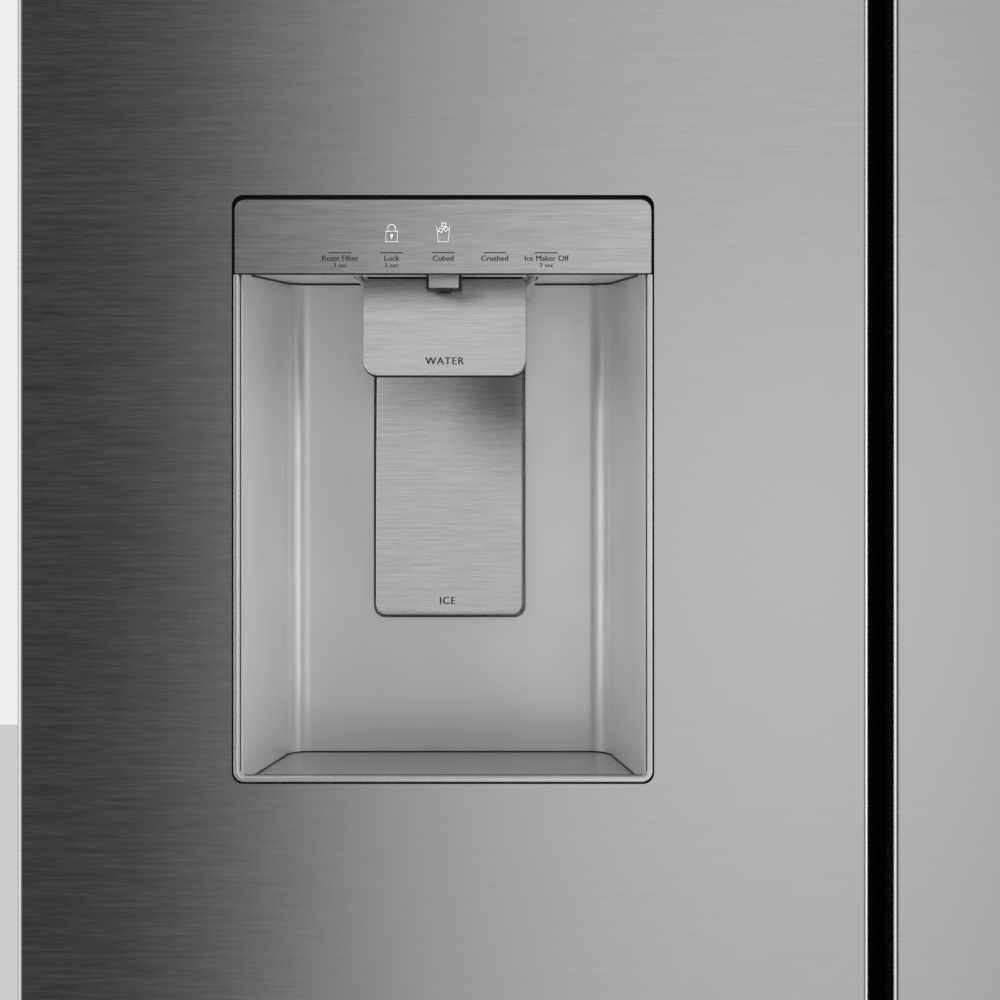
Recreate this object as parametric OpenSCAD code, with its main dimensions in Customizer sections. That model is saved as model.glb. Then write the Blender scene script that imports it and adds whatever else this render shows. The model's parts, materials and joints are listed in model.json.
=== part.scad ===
// Side by side refrigerator with an ice and water dispenser in the freezer door.
// Millimetres, +Z up, the doors face -Y, the origin is on the floor under the middle of the body.

/* [Body] */
// Width over both doors
body_w = 908; // [900:1:914]
// Height of the cabinet top above the floor
cabinet_top = 1742; // [1730:1:1780]
// Depth of the cabinet without its doors
cabinet_d = 612; // [606:1:630]
// Height of the hinge covers above the cabinet top
hinge_cover_h = 33; // [30:1:38]

/* [Doors] */
// Width of the freezer door
freezer_door_w = 401.5; // [398:0.5:406]
// Clear gap between the two doors
door_gap = 11; // [10:0.5:12]
// Thickness of a door from its face to its back plane
door_t = 72; // [70:1:74]
// Radius of the rolled steel edges
edge_r = 3; // [2:0.5:4]
// Depth of the finger recess into the door edge
grip_depth = 22; // [18:1:26]

/* [Dispenser] */
// Height of the lower edge of the dispenser above the floor
disp_z = 1000; // [980:1:1010]
// Width of the glass space at the front
cavity_w = 192.2; // [188:0.2:196]
// Depth of the glass space behind the door face
cavity_d = 87.5; // [85:0.5:90]
// Width of the water and ice paddles
paddle_w = 78.5; // [74:0.5:80]

/* [Interior] */
// Depth of the freezer door bins
freezer_bin_d = 94; // [80:1:96]
// Depth of the fridge door bins
fridge_bin_d = 110; // [90:1:112]

/* [Hidden] */
$fn = 48;

// Colours
steel = [0.62, 0.62, 0.62];
cabinet_grey = [0.45, 0.46, 0.47];
foam_yellow = [0.9, 0.85, 0.6];
zinc = [0.6, 0.62, 0.63];
white_plastic = [0.92, 0.93, 0.94];
silver_plastic = [0.66, 0.66, 0.66];
black_plastic = [0.04, 0.04, 0.045];
clear_plastic = [0.8, 0.88, 0.92, 0.5];
gasket_grey = [0.55, 0.56, 0.57];

// Depth direction: door face, door back, cabinet front, cabinet rear
seal_gap = 12;
spacer_d = 16;
y_face = -(door_t + seal_gap + cabinet_d + spacer_d) / 2;
y_door = y_face + door_t;
y_cab = y_door + seal_gap;
y_rear = y_cab + cabinet_d;
sheet_t = 1.2;

// Across the width
x_side = body_w / 2;
x_shell = x_side - 3;
fridge_door_w = body_w - freezer_door_w - door_gap;
x_split = -x_side + freezer_door_w + door_gap / 2;
mullion_half = 28;
freezer_x = [-x_shell + 52, x_split - mullion_half];
fridge_x = [x_split + mullion_half, x_shell - 44];

// Heights
base_z = 40;
door_z = [62, cabinet_top];
room_z = [112, cabinet_top - 48];
cap_t = 8;

// The rooms' inside depth, with a step at the rear for the machine bay
liner_t = 2;
room_back = y_rear - 65;
step_z = 330;
step_y = [y_cab + 312, y_cab + 412];
bay_z = [base_z + 2, base_z + 52, base_z + 242];
bay_gap = 36;

// Door hinge axis, from the outer side and from the door's back plane
hinge_in = 20;
hinge_y = y_door - 26;
pin_r = 6;
pin_gap = 0.08;

// Dispenser frame: x from its middle, y from the door face, z from its lower edge
disp_x = -x_side + freezer_door_w / 2;
disp_h = 276;
cavity_half = cavity_w / 2;
back_half = cavity_half - 22.3;
corner_r = 12;
wall = 2;
panel_z = [239.6, 274.1];
panel_half = 98.4;
bezel_half = cavity_half + 2.8;
bezel_back = 5.4;
housing_front = 5.5;
chute_half = 45;
chute_v = [34, 78, 118, 164];
chute_z = [262, 300, 322, 366];
mouth_z = 232;
ice_pivot = [93, 219];
water_pivot = [28, 262];
flap_pivot = [42, 303];

// Shelf, drawer and bin heights
freezer_shelf_z = [780, 1000, 1220, 1386];
fridge_shelf_z = [700, 930, 1160, 1390];
freezer_bin_z = [165, 420, 690, 1553];
fridge_bin_z = [165, 410, 665, 920, 1170, 1430];
drawer_front = y_cab + 142;
crisper_front = y_cab + 152;
bin_h = 100;
bin_wall = 3;

// A block between two corners, given as ranges
module block(x, y, z) {
    translate([x[0], y[0], z[0]]) cube([x[1] - x[0], y[1] - y[0], z[1] - z[0]]);
}

// A cylinder along X, Y or Z
module rod_x(r, x, y, z) {
    translate([x[0], y, z]) rotate([0, 90, 0]) cylinder(r = r, h = x[1] - x[0]);
}

module rod_y(r, x, y, z) {
    translate([x, y[0], z]) rotate([-90, 0, 0]) cylinder(r = r, h = y[1] - y[0]);
}

module rod_z(r, x, y, z) {
    translate([x, y, z[0]]) cylinder(r = r, h = z[1] - z[0]);
}

// A rectangle with round corners, centred in X, from 0 to h in Y
module round_rect(half, h, r) {
    translate([-half, r]) square([2 * half, h - 2 * r]);
    translate([r - half, 0]) square([2 * (half - r), h]);
    for (x = [r - half, half - r], y = [r, h - r]) translate([x, y]) circle(r);
}

// An outline drawn in X and Z, given a depth along Y
module plate_xz(y) {
    translate([0, y[1], 0]) rotate([90, 0, 0]) linear_extrude(y[1] - y[0]) children();
}

// An outline drawn in Y and Z, given a width along X
module plate_yz(x) {
    translate([x[0], 0, 0]) rotate([90, 0, 90]) linear_extrude(x[1] - x[0]) children();
}

// A row of upright slots cut through along Y
module slots(x, y, z, pitch, width) {
    n = floor((x[1] - x[0]) / pitch);
    start = (x[0] + x[1] - (n - 1) * pitch - width) / 2;
    for (i = [0 : n - 1]) block([start + i * pitch, start + i * pitch + width], y, z);
}

// An open box: outer ranges and wall thickness
module open_box(x, y, z, t) {
    difference() {
        block(x, y, z);
        block([x[0] + t, x[1] - t], [y[0] + t, y[1] - t], [z[0] + t, z[1] + 1]);
    }
}

// ---------------------------------------------------------------- cabinet

module cabinet_shell() {
    color(cabinet_grey) difference() {
        block([-x_shell, x_shell], [y_cab, y_rear - sheet_t], [base_z, cabinet_top]);
        block([-x_shell + sheet_t, x_shell - sheet_t], [y_cab + sheet_t, y_rear + 1],
            [base_z - 1, cabinet_top - sheet_t]);
        for (x = [freezer_x, fridge_x])
            block([x[0] - liner_t, x[1] + liner_t], [y_cab - 1, y_cab + 3],
                [room_z[0] - liner_t, room_z[1] + liner_t]);
    }
}

module back_panel() {
    color(zinc) {
        block([-x_shell, x_shell], [y_rear - sheet_t, y_rear], [bay_z[2] + 2, cabinet_top]);
        for (x = [-240, 0, 240])
            block([x - 40, x + 40], [y_rear - 0.1, y_rear + 1.5], [step_z + 60, cabinet_top - 120]);
    }
}

// Side section of the machine bay roof, from the base up and back, moved down by e
function bay_line(e) = [
    [step_y[0] + bay_gap, bay_z[0] - e], [step_y[0] + bay_gap, bay_z[1] - e],
    [step_y[1] + bay_gap, bay_z[2] - e], [y_rear - sheet_t - 0.3, bay_z[2] - e]];

module insulation() {
    top = cabinet_top - sheet_t - 0.3;
    color(foam_yellow) difference() {
        plate_yz([-x_shell + sheet_t + 0.3, x_shell - sheet_t - 0.3]) polygon(concat(
            [[y_cab + 4.3, bay_z[0] + 0.3]],
            [for (p = bay_line(-0.3)) [p[0] - 0.3, p[1]]],
            [[y_rear - sheet_t - 0.6, top], [y_cab + sheet_t + 0.3, top],
            [y_cab + sheet_t + 0.3, room_z[0] - 2.7], [y_cab + 4.3, room_z[0] - 2.7]]));
        for (x = [freezer_x, fridge_x])
            plate_yz([x[0] - liner_t - 0.3, x[1] + liner_t + 0.3]) polygon(room_line(liner_t + 0.3));
    }
}

module base_frame() {
    feet_x = x_shell - 51;
    half = x_shell - sheet_t - 0.3;
    side = [
        [step_y[0] + bay_gap + 1, bay_z[0] - 1], [step_y[0] + bay_gap + 1, bay_z[1]],
        [step_y[1] + bay_gap + 1, bay_z[2] - 1], [y_rear - 4, bay_z[2] - 1], [y_rear - 4, bay_z[0] - 1]];
    color(zinc) difference() {
        union() {
            block([-half, half], [y_cab + 4, y_rear - 3], [base_z, bay_z[0]]);
            block([-half, half], [y_cab + 1.5, y_cab + 4.1], [base_z, room_z[0] - 3]);
            plate_yz([-half, half])
                polygon(concat(bay_line(0), [for (i = [3 : -1 : 0]) bay_line(1.5)[i] + [1.5, 0]]));
            for (s = [-half, half - 1.5]) plate_yz([s, s + 1.5]) polygon(side);
            for (x = [-feet_x, feet_x]) rod_z(11, x, y_cab + 42, [base_z - 12, base_z + 1]);
            for (s = [-1, 1], d = [-10, 8])
                block([s * 390 + d, s * 390 + d + 2], [y_rear - 56, y_rear - 24], [10, base_z + 1]);
            for (s = [-1, 1]) rod_x(4, [s * 390 - 10, s * 390 + 10], y_rear - 40, 20);
        }
        for (x = [-feet_x, feet_x]) rod_z(5 + pin_gap, x, y_cab + 42, [base_z - 13, base_z + 4]);
    }
}

// Side section of a room: e grows it outwards
function room_line(e) = [
    [y_cab - (e > 0 ? 0 : 1), room_z[0] - e], [step_y[0] + 0.66 * e, room_z[0] - e],
    [step_y[1] + 0.66 * e, step_z - e], [room_back + e, step_z - e], [room_back + e, room_z[1] + e],
    [y_cab - (e > 0 ? 0 : 1), room_z[1] + e]];

module room_liner(x, ledges, ledge_y) {
    difference() {
        plate_yz([x[0] - liner_t, x[1] + liner_t]) polygon(room_line(liner_t));
        plate_yz(x) polygon(room_line(0));
    }
    // moulded side ledges that carry the shelves and drawers
    for (l = ledges) {
        block([x[0] - 0.5, x[0] + 12], ledge_y, [l - 10, l]);
        block([x[1] - 12, x[1] + 0.5], ledge_y, [l - 10, l]);
    }
}

module freezer_liner() {
    color(white_plastic) room_liner(freezer_x, concat([for (z = freezer_shelf_z) z - 0.3], [459.7]),
        [y_cab + 150, room_back - 36]);
}

module fridge_liner() {
    color(white_plastic) {
        room_liner(fridge_x, concat([for (z = fridge_shelf_z) z - 0.3], [433.7]),
            [y_cab + 160, room_back - 36]);
        // socket that the filter cartridge turns in
        difference() {
            block([fridge_x[1] - 76, fridge_x[1] - 12], [y_cab + 330, y_cab + 372],
                [room_z[1] - 70, room_z[1] + 1]);
            rod_y(12.1, fridge_x[1] - 44, [y_cab + 329, y_cab + 360], room_z[1] - 38);
        }
    }
}

module kick_grille() {
    color(black_plastic) difference() {
        block([-x_shell + 8, x_shell - 8], [y_cab + 6, y_cab + 14], [8, base_z - 0.2]);
        slots([-x_shell + 70, x_shell - 70], [y_cab + 4, y_cab + 16], [14, base_z - 7], 22, 15);
    }
}

module machine_cover() {
    z = [base_z + 4, bay_z[2] + 8];
    color(zinc) difference() {
        union() {
            block([-x_shell + 8, x_shell - 8], [y_rear + 0.5, y_rear + 2.5], z);
            // spacers that keep the air gap to the wall
            for (x = [-x_shell + 40, x_shell - 80])
                block([x, x + 40], [y_rear + 2, y_rear + spacer_d], [z[1] - 46, z[1] - 16]);
            // boss of the mains cable gland
            rod_y(10, x_shell - 120, [y_rear + 1, y_rear + 11], 90);
        }
        for (low = [z[0] + 30, z[0] + 104])
            slots([-x_shell + 150, x_shell - 170], [y_rear - 2, y_rear + 5], [low, low + 54], 18, 7);
        rod_y(4.5, x_shell - 120, [y_rear - 1, y_rear + 12], 90);
        block([-x_shell + 42, -x_shell + 108], [y_rear - 1, y_rear + 4], [76, 168]);
    }
}

// Domed steel can: radius r, total height h
module can(r, h) {
    dome = 26;
    rotate_extrude() polygon(concat([[0, 0], [r - 12, 0], [r, 12], [r, h - dome]],
        [for (a = [10 : 10 : 90]) [r * cos(a), h - dome + dome * sin(a)]]));
}

module compressor() {
    color(black_plastic) translate([250, y_rear - 110, base_z + 2]) {
        translate([0, 0, 14]) can(72, 176);
        difference() {
            block([-105, 105], [-60, 60], [10, 14.5]);
            for (x = [-92, 92], y = [-46, 46]) rod_z(5, x, y, [8, 16]);
        }
        for (x = [-92, 92], y = [-46, 46]) rod_z(9, x, y, [0, 10.2]);
        rod_x(4, [-110, -66], 20, 60);
        rod_x(4, [-104, -66], -24, 100);
        block([60, 88], [-30, 30], [50, 120]);
    }
}

// Finned coil: width w, fin height h, depth d
module finned_coil(w, h, d, fins, rows) {
    for (i = [0 : fins - 1]) translate([i * w / (fins - 1) - 0.6, 0, 0]) cube([1.2, d, h]);
    for (i = [0 : rows - 1]) rod_x(4, [-14, w + 14], d / 2, h * (i + 0.5) / rows);
    for (i = [0 : rows - 2])
        block([i % 2 == 0 ? w + 8 : -14, i % 2 == 0 ? w + 14 : -8], [d / 2 - 4, d / 2 + 4],
            [h * (i + 0.5) / rows, h * (i + 1.5) / rows]);
}

// Axial fan about Z: tip radius r, height h
module fan(r, h, bore) {
    hub = r * 0.32;
    difference() {
        union() {
            cylinder(r = hub, h = h);
            for (i = [0 : 4])
                rotate([0, 0, i * 72]) translate([hub - 2, 0, h / 2]) rotate([32, 0, 0])
                    translate([0, -r * 0.26, -0.8]) cube([r - hub, r * 0.52, 1.6]);
        }
        translate([0, 0, -1]) cylinder(r = bore, h = h + 2);
    }
}

fan_y = y_rear - 134;
fan_z = base_z + 118;
fan_x = -50;

module condenser() {
    color(black_plastic) {
        translate([-150, y_rear - 80, base_z + 32]) finned_coil(200, 170, 40, 12, 5);
        // shroud, its spider and the motor with the fan's shaft
        difference() {
            block([fan_x - 92, fan_x + 92], [fan_y + 22, fan_y + 25], [bay_z[0], base_z + 208]);
            rod_y(68, fan_x, [fan_y + 20, fan_y + 27], fan_z);
        }
        for (a = [45, 135])
            translate([fan_x, 0, fan_z]) rotate([0, a, 0]) block([-72, 72], [fan_y + 22, fan_y + 25], [-4, 4]);
        rod_y(16, fan_x, [fan_y + 14, fan_y + 40], fan_z);
        rod_y(3, fan_x, [fan_y - 10, fan_y + 15], fan_z);
    }
}

module condenser_fan() {
    color(silver_plastic) translate([fan_x, fan_y + 12, fan_z]) rotate([90, 0, 0]) fan(60, 20, 3 + pin_gap);
}

valve_x = -x_shell + 75;

module water_valve() {
    color(white_plastic) difference() {
        union() {
            block([valve_x - 24, valve_x + 24], [y_rear - 70, y_rear - 22], [100, 140]);
            for (x = [-14, 14]) rod_z(11, valve_x + x, y_rear - 46, [139, 172]);
            rod_y(5.55, valve_x, [y_rear - 23, y_rear + 2], 120);
        }
        rod_y(3.25, valve_x, [y_rear - 16, y_rear + 3], 120);
    }
}

module top_hinges() {
    z = [cabinet_top, cabinet_top + 2, cabinet_top + 6];
    color(zinc) for (s = [0, 1]) mirror([s, 0, 0]) translate([x_side - hinge_in, 0, 0]) {
        block([-50, 10], [y_cab + 4, y_cab + 96], [z[0], z[2]]);
        block([-18, 14], [hinge_y - 14, y_cab + 6], [z[1], z[2]]);
        rod_z(pin_r, 0, hinge_y, [z[0] - 30, z[1] + 1]);
    }
}

module bottom_hinges() {
    z = [door_z[0] - 8, door_z[0] - 4];
    color(zinc) for (s = [0, 1]) mirror([s, 0, 0]) translate([x_side - hinge_in, 0, 0]) {
        block([-34, 12], [y_cab - 4, y_cab], [z[0], door_z[0] + 12]);
        block([-18, 12], [hinge_y - 14, y_cab - 2], z);
        rod_z(11, 0, hinge_y, [z[0], door_z[0] - 0.3]);
        rod_z(pin_r, 0, hinge_y, [z[0], door_z[0] + 30]);
    }
}

module hinge_covers() {
    top = cabinet_top + hinge_cover_h;
    color(black_plastic) for (s = [0, 1])
        mirror([s, 0, 0]) translate([x_side - hinge_in, 0, 0]) difference() {
            union() {
                block([-56, 16], [hinge_y - 20, y_cab + 104], [cabinet_top + 1.6, top]);
                block([-56, 16], [y_cab + 3, y_cab + 104], [cabinet_top, top]);
            }
            block([-53, 14.5], [hinge_y - 17, y_cab + 101], [cabinet_top - 1, top - 3]);
        }
}

// ---------------------------------------------------------------- freezer room

evap_z = [360, 620];
evap_fan_z = 720;
evap_cover_y = room_back - 34;
freezer_mid = (freezer_x[0] + freezer_x[1]) / 2;

module evaporator() {
    color(steel) translate([freezer_x[0] + 34, evap_cover_y + 6, evap_z[0]])
        finned_coil(freezer_x[1] - freezer_x[0] - 68, evap_z[1] - evap_z[0], 24, 12, 6);
}

module evaporator_cover() {
    y = [evap_cover_y - 1, evap_cover_y + 4];
    color(white_plastic) difference() {
        union() {
            block([freezer_x[0] + 8, freezer_x[1] - 8], [evap_cover_y, evap_cover_y + 3], [step_z + 12, 1330]);
            rod_y(12, freezer_mid, [evap_cover_y + 2, evap_cover_y + 12], evap_fan_z);
            rod_y(3, freezer_mid, [evap_cover_y + 2, evap_cover_y + 30], evap_fan_z);
        }
        for (a = [0 : 45 : 315], r = [24, 38])
            rod_y(5, freezer_mid + r * cos(a), y, evap_fan_z + r * sin(a));
        slots([freezer_x[0] + 40, freezer_x[1] - 40], y, [step_z + 22, step_z + 40], 18, 10);
        for (z = [900, 1120]) slots([freezer_x[0] + 60, freezer_x[1] - 60], y, [z, z + 14], 40, 30);
    }
}

module evaporator_fan() {
    color(black_plastic) translate([freezer_mid, evap_cover_y + 29, evap_fan_z]) rotate([90, 0, 0])
        fan(46, 14, 3 + pin_gap);
}

// Ice system at the top of the freezer
bucket_x = [disp_x - 70, freezer_x[1] - 22];
bucket_y = [y_cab + 106, room_back - 150];
bucket_z = [1400, 1550];
snout_z = [bucket_z[0] - 24, bucket_z[0] + 24];
snout_y = y_face + 121;
auger_x = disp_x;
auger_z = bucket_z[0] + 52;
auger_r = 44;

module ice_bucket() {
    color(clear_plastic) difference() {
        union() {
            block(bucket_x, bucket_y, bucket_z);
            block([disp_x - 46, disp_x + 46], [snout_y, bucket_y[0] + 1], snout_z);
        }
        block([bucket_x[0] + 3, bucket_x[1] - 3], [bucket_y[0] + 3, bucket_y[1] - 3],
            [bucket_z[0] + 3, bucket_z[1] + 1]);
        // way out to the door chute
        block([disp_x - 43, disp_x + 43], [snout_y + 3, bucket_y[0] + 4], [snout_z[0] + 3, snout_z[1] - 3]);
        block([disp_x - 43, disp_x + 43], [snout_y + 3, snout_y + 37], [snout_z[0] - 1, snout_z[0] + 4]);
        // bearing of the auger shaft
        rod_y(5 + pin_gap, auger_x, [bucket_y[1] - 4, bucket_y[1] + 1], auger_z);
    }
}

module auger() {
    color(steel) {
        rod_y(5, auger_x, [bucket_y[0] + 8, bucket_y[1] + 2], auger_z);
        // drive dog that faces the motor's
        rod_y(14, auger_x, [bucket_y[1] + 0.5, bucket_y[1] + 2.5], auger_z);
        translate([auger_x, bucket_y[1] - 12, auger_z]) rotate([90, 0, 0])
            linear_extrude(bucket_y[1] - bucket_y[0] - 30, twist = 720, slices = 40)
                square([2 * auger_r, 4], center = true);
    }
}

module auger_motor() {
    y = bucket_y[1];
    z = bucket_z[0];
    color(white_plastic) {
        block([auger_x - 46, auger_x + 60], [y + 5, y + 70], [z - 1, z + 130]);
        block([auger_x - 30, auger_x + 44], [y + 69, room_back - 0.3], [z + 20, z + 80]);
        rod_y(14, auger_x, [y + 3, y + 6], auger_z);
    }
}

maker_x = [freezer_x[0] + 12, freezer_x[0] + 150];
maker_y = [y_cab + 150, room_back - 150];
maker_z = [room_z[1] - 100, room_z[1] - 22];
arm_pivot = [maker_y[0] + 24, maker_z[0] + 34];

module ice_maker() {
    color(white_plastic) difference() {
        union() {
            block(maker_x, maker_y, maker_z);
            block([maker_x[0], maker_x[1] - 20], [maker_y[0] - 30, maker_y[0] + 1],
                [maker_z[0] - 8, maker_z[1]]);
            for (y = [maker_y[0] + 40, maker_y[1] - 40])
                block([maker_x[0] + 30, maker_x[0] + 60], [y - 10, y + 10], [maker_z[1] - 1, room_z[1] - 0.2]);
        }
        // row of half round ice moulds
        for (i = [0 : 6])
            rod_y(44, (maker_x[0] + maker_x[1]) / 2 - 8, [maker_y[0] + 34 + i * 28, maker_y[0] + 58 + i * 28],
                maker_z[1] + 6);
        rod_x(3 + pin_gap, [maker_x[1] - 12, maker_x[1] + 1], arm_pivot[0], arm_pivot[1]);
    }
}

module feeler_arm() {
    x = maker_x[1] + 14;
    reach = 190;
    drop = 74;
    y = [arm_pivot[0], arm_pivot[0] + reach];
    z = [arm_pivot[1] - drop, arm_pivot[1]];
    color(steel) {
        rod_x(3, [maker_x[1] - 10, x], y[0], z[1]);
        rod_z(3, x, y[0], z);
        rod_y(3, x, y, z[0]);
        rod_z(3, x, y[1], [z[0], z[0] + 30]);
        // round elbows
        for (p = [[y[0], z[1]], [y[0], z[0]], [y[1], z[0]]]) translate([x, p[0], p[1]]) sphere(r = 3.6);
    }
}

// A pull-out drawer with a thicker grip front
module drawer(x, y, z) {
    open_box(x, [y[0] + 6, y[1]], z, 3);
    block(x, [y[0], y[0] + 7], [z[0] + 4, z[1] + 4]);
    block([x[0] + 40, x[1] - 40], [y[0] - 8, y[0] + 1], [z[1] - 26, z[1] - 20]);
}

freezer_drawer_x = [freezer_x[0] + 8, freezer_x[1] - 8];
crisper_x = [fridge_x[0] + 8, fridge_x[1] - 8];
upper_drawer_back = room_back - 44;
lower_drawer_back = step_y[0] - 6;

module freezer_drawer_upper() {
    color(clear_plastic) drawer(freezer_drawer_x, [drawer_front, upper_drawer_back], [460, 742]);
}

module freezer_drawer_lower() {
    color(clear_plastic) drawer(freezer_drawer_x, [drawer_front, lower_drawer_back], [room_z[0] + 0.5, 438]);
}

// ---------------------------------------------------------------- fridge room

fridge_mid = (fridge_x[0] + fridge_x[1]) / 2;
duct_y = room_back - 26;
shelf_back = room_back - 34;

module air_duct() {
    color(white_plastic) difference() {
        block([fridge_mid - 46, fridge_mid + 46], [duct_y, room_back - 0.3], [step_z + 260, room_z[1] - 60]);
        block([fridge_mid - 43, fridge_mid + 43], [duct_y + 3, room_back - 3], [step_z + 263, room_z[1] - 63]);
        for (z = [760 : 230 : 1500], i = [0 : 2])
            block([fridge_mid - 34, fridge_mid + 34], [duct_y - 1, duct_y + 4], [z + i * 14, z + i * 14 + 7]);
    }
}

module shelf_frame(x, y, z) {
    difference() {
        block([x[0] + 1.5, x[1] - 1.5], y, [z, z + 12]);
        block([x[0] + 14, x[1] - 14], [y[0] + 14, y[1] - 12], [z - 1, z + 13]);
        block([x[0] + 9, x[1] - 9], [y[0] + 9, y[1] - 7], [z + 7, z + 13]);
    }
}

module shelf_pane(x, y, z) {
    block([x[0] + 9.4, x[1] - 9.4], [y[0] + 9.4, y[1] - 7.4], [z + 7, z + 11]);
}

module shelf_frames() {
    color(silver_plastic) {
        for (z = fridge_shelf_z) shelf_frame(fridge_x, [crisper_front, shelf_back], z);
        for (z = freezer_shelf_z) shelf_frame(freezer_x, [drawer_front, shelf_back - 4], z);
    }
}

module shelf_glass() {
    color([0.75, 0.87, 0.85, 0.4]) {
        for (z = fridge_shelf_z) shelf_pane(fridge_x, [crisper_front, shelf_back], z);
        for (z = freezer_shelf_z) shelf_pane(freezer_x, [drawer_front, shelf_back - 4], z);
    }
}

module crisper_upper() {
    color(clear_plastic) drawer(crisper_x, [crisper_front, upper_drawer_back + 6], [434, 652]);
}

module crisper_lower() {
    color(clear_plastic) drawer(crisper_x, [crisper_front, lower_drawer_back], [room_z[0] + 0.5, 408]);
}

module humidity_slider() {
    z = fridge_shelf_z[0];
    color(silver_plastic) {
        block([fridge_mid - 14, fridge_mid + 14], [crisper_front - 3.3, crisper_front - 0.3], [z + 2, z + 10]);
        block([fridge_mid - 3, fridge_mid + 3], [crisper_front - 8, crisper_front - 3], [z + 3, z + 9]);
    }
}

module lamps() {
    color("white") {
        block([fridge_mid - 110, fridge_mid + 60], [y_cab + 60, y_cab + 96], [room_z[1] - 9, room_z[1] - 0.2]);
        block([freezer_mid - 70, freezer_mid + 70], [y_cab + 60, y_cab + 90], [room_z[1] - 9, room_z[1] - 0.2]);
    }
}

filter_x = fridge_x[1] - 44;
filter_z = room_z[1] - 38;

module water_filter() {
    color(white_plastic) {
        rod_y(27, filter_x, [y_cab + 120, y_cab + 328], filter_z);
        rod_y(12, filter_x, [y_cab + 327, y_cab + 356], filter_z);
        block([filter_x - 4, filter_x + 4], [y_cab + 106, y_cab + 121], [filter_z - 22, filter_z + 22]);
    }
}

// ---------------------------------------------------------------- feet and rollers

module rear_roller(x) {
    color(black_plastic) difference() {
        rod_x(20, [x - 7, x + 7], y_rear - 40, 20);
        rod_x(4 + pin_gap, [x - 8, x + 8], y_rear - 40, 20);
    }
}

module rear_roller_left() { rear_roller(-390); }

module rear_roller_right() { rear_roller(390); }

module levelling_foot(x) {
    color(black_plastic) {
        rod_z(18, x, y_cab + 42, [0, 10]);
        rod_z(12, x, y_cab + 42, [9, 18]);
        rod_z(5, x, y_cab + 42, [17, base_z + 1.6]);
    }
}

module levelling_foot_left() { levelling_foot(-x_shell + 51); }

module levelling_foot_right() { levelling_foot(x_shell - 51); }

// ---------------------------------------------------------------- doors
// A door is drawn with u from its hinge side to its free side, and v back from its face.

module freezer_side() { translate([-x_side, y_face, 0]) children(); }

module fridge_side() { translate([x_side, y_face, 0]) mirror([1, 0, 0]) children(); }

skin_t = 1;
back_v = door_t - 2;
return_v = 10.6;
scoop_v = [return_v + 2.5, 52];
scoop_r = 8;

// Plan of a door with rolled front edges, inset by e
module door_plan(w, e) {
    translate([e, edge_r]) square([w - 2 * e, back_v - edge_r]);
    translate([edge_r, e]) square([w - 2 * edge_r, edge_r]);
    for (u = [edge_r, w - edge_r]) translate([u, edge_r]) circle(edge_r - e);
}

// Plan of the finger recess at the free edge, grown by e
module scoop_plan(w, e) {
    r = scoop_r + e;
    u = w - grip_depth - e;
    v = [scoop_v[0] - e, scoop_v[1] + e];
    translate([u + r, v[0]]) square([w - u - r + 5, v[1] - v[0]]);
    translate([u, v[0] + r]) square([r + 1, v[1] - v[0] - 2 * r]);
    for (c = [v[0] + r, v[1] - r]) translate([u + r, c]) circle(r);
}

module door_skin(w) {
    translate([0, 0, door_z[0] + cap_t]) linear_extrude(door_z[1] - door_z[0] - 2 * cap_t) difference() {
        door_plan(w, 0);
        door_plan(w, skin_t);
        translate([w - 5, return_v]) square([10, door_t]);
    }
}

module door_caps(w) {
    for (z = [door_z[0], door_z[1] - cap_t]) difference() {
        union() {
            translate([0, 0, z]) linear_extrude(cap_t) door_plan(w, 0);
            rod_z(14, hinge_in, hinge_y - y_face, z == door_z[0] ? [z + 1, z + 36] : [z - 28, z + 1]);
        }
        rod_z(pin_r + pin_gap, hinge_in, hinge_y - y_face,
            z == door_z[0] ? [z - 1, z + 33] : [z - 25, z + cap_t + 1]);
    }
}

module door_grip(w) {
    z = [door_z[0] + cap_t, door_z[1] - cap_t];
    translate([0, 0, z[0]]) linear_extrude(z[1] - z[0]) {
        difference() {
            intersection() {
                scoop_plan(w, 2.5);
                square([w, door_t]);
            }
            scoop_plan(w, 0);
        }
        translate([w - 2.5, scoop_v[1] + 2]) square([2.5, back_v - scoop_v[1] - 2]);
    }
}

seal_w = 14;

module door_gasket(w) {
    u = [hinge_in, w - 5];
    z = [door_z[0] + 14, door_z[1] - 14];
    difference() {
        block(u, [door_t, door_t + seal_gap - 0.6], z);
        block([u[0] + seal_w, u[1] - seal_w], [door_t - 1, door_t + seal_gap], [z[0] + seal_w, z[1] - seal_w]);
    }
}

dyke_in = 18;
dyke_w = 26;
dyke_v = door_t + 40;
dyke_z = [room_z[0] + 20, room_z[1] - 12];

// Foam core of a door, with room for the finger recess and the hinge barrels
module door_core(w) {
    difference() {
        translate([0, 0, door_z[0] + cap_t + 0.3]) linear_extrude(door_z[1] - door_z[0] - 2 * cap_t - 0.6)
            difference() {
                door_plan(w, skin_t + 0.3);
                scoop_plan(w, 2.8);
                translate([w - 2.8, scoop_v[1]]) square([3, 30]);
                translate([-1, back_v - 0.3]) square([w + 2, 5]);
            }
        for (z = [[door_z[0], door_z[0] + 37], [door_z[1] - cap_t - 29, door_z[1]]])
            rod_z(14.3, hinge_in, hinge_y - y_face, z);
    }
}

// Inner door panel: back plate, raised ring that carries the bins, and the lugs under each bin
module door_inner(w, room, bins) {
    u = [room[0] + dyke_in, room[1] - dyke_in];
    block([0, w], [back_v, door_t], door_z);
    difference() {
        block(u, [door_t - 1, dyke_v], dyke_z);
        block([u[0] + dyke_w, u[1] - dyke_w], [door_t - 2, dyke_v + 1],
            [dyke_z[0] + dyke_w, dyke_z[1] - dyke_w]);
    }
    for (z = bins, s = [u[0] + dyke_w - 1, u[1] - dyke_w - 11])
        block([s, s + 12], [door_t + 4, door_t + 30], [z - 10, z - 0.2]);
}

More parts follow.
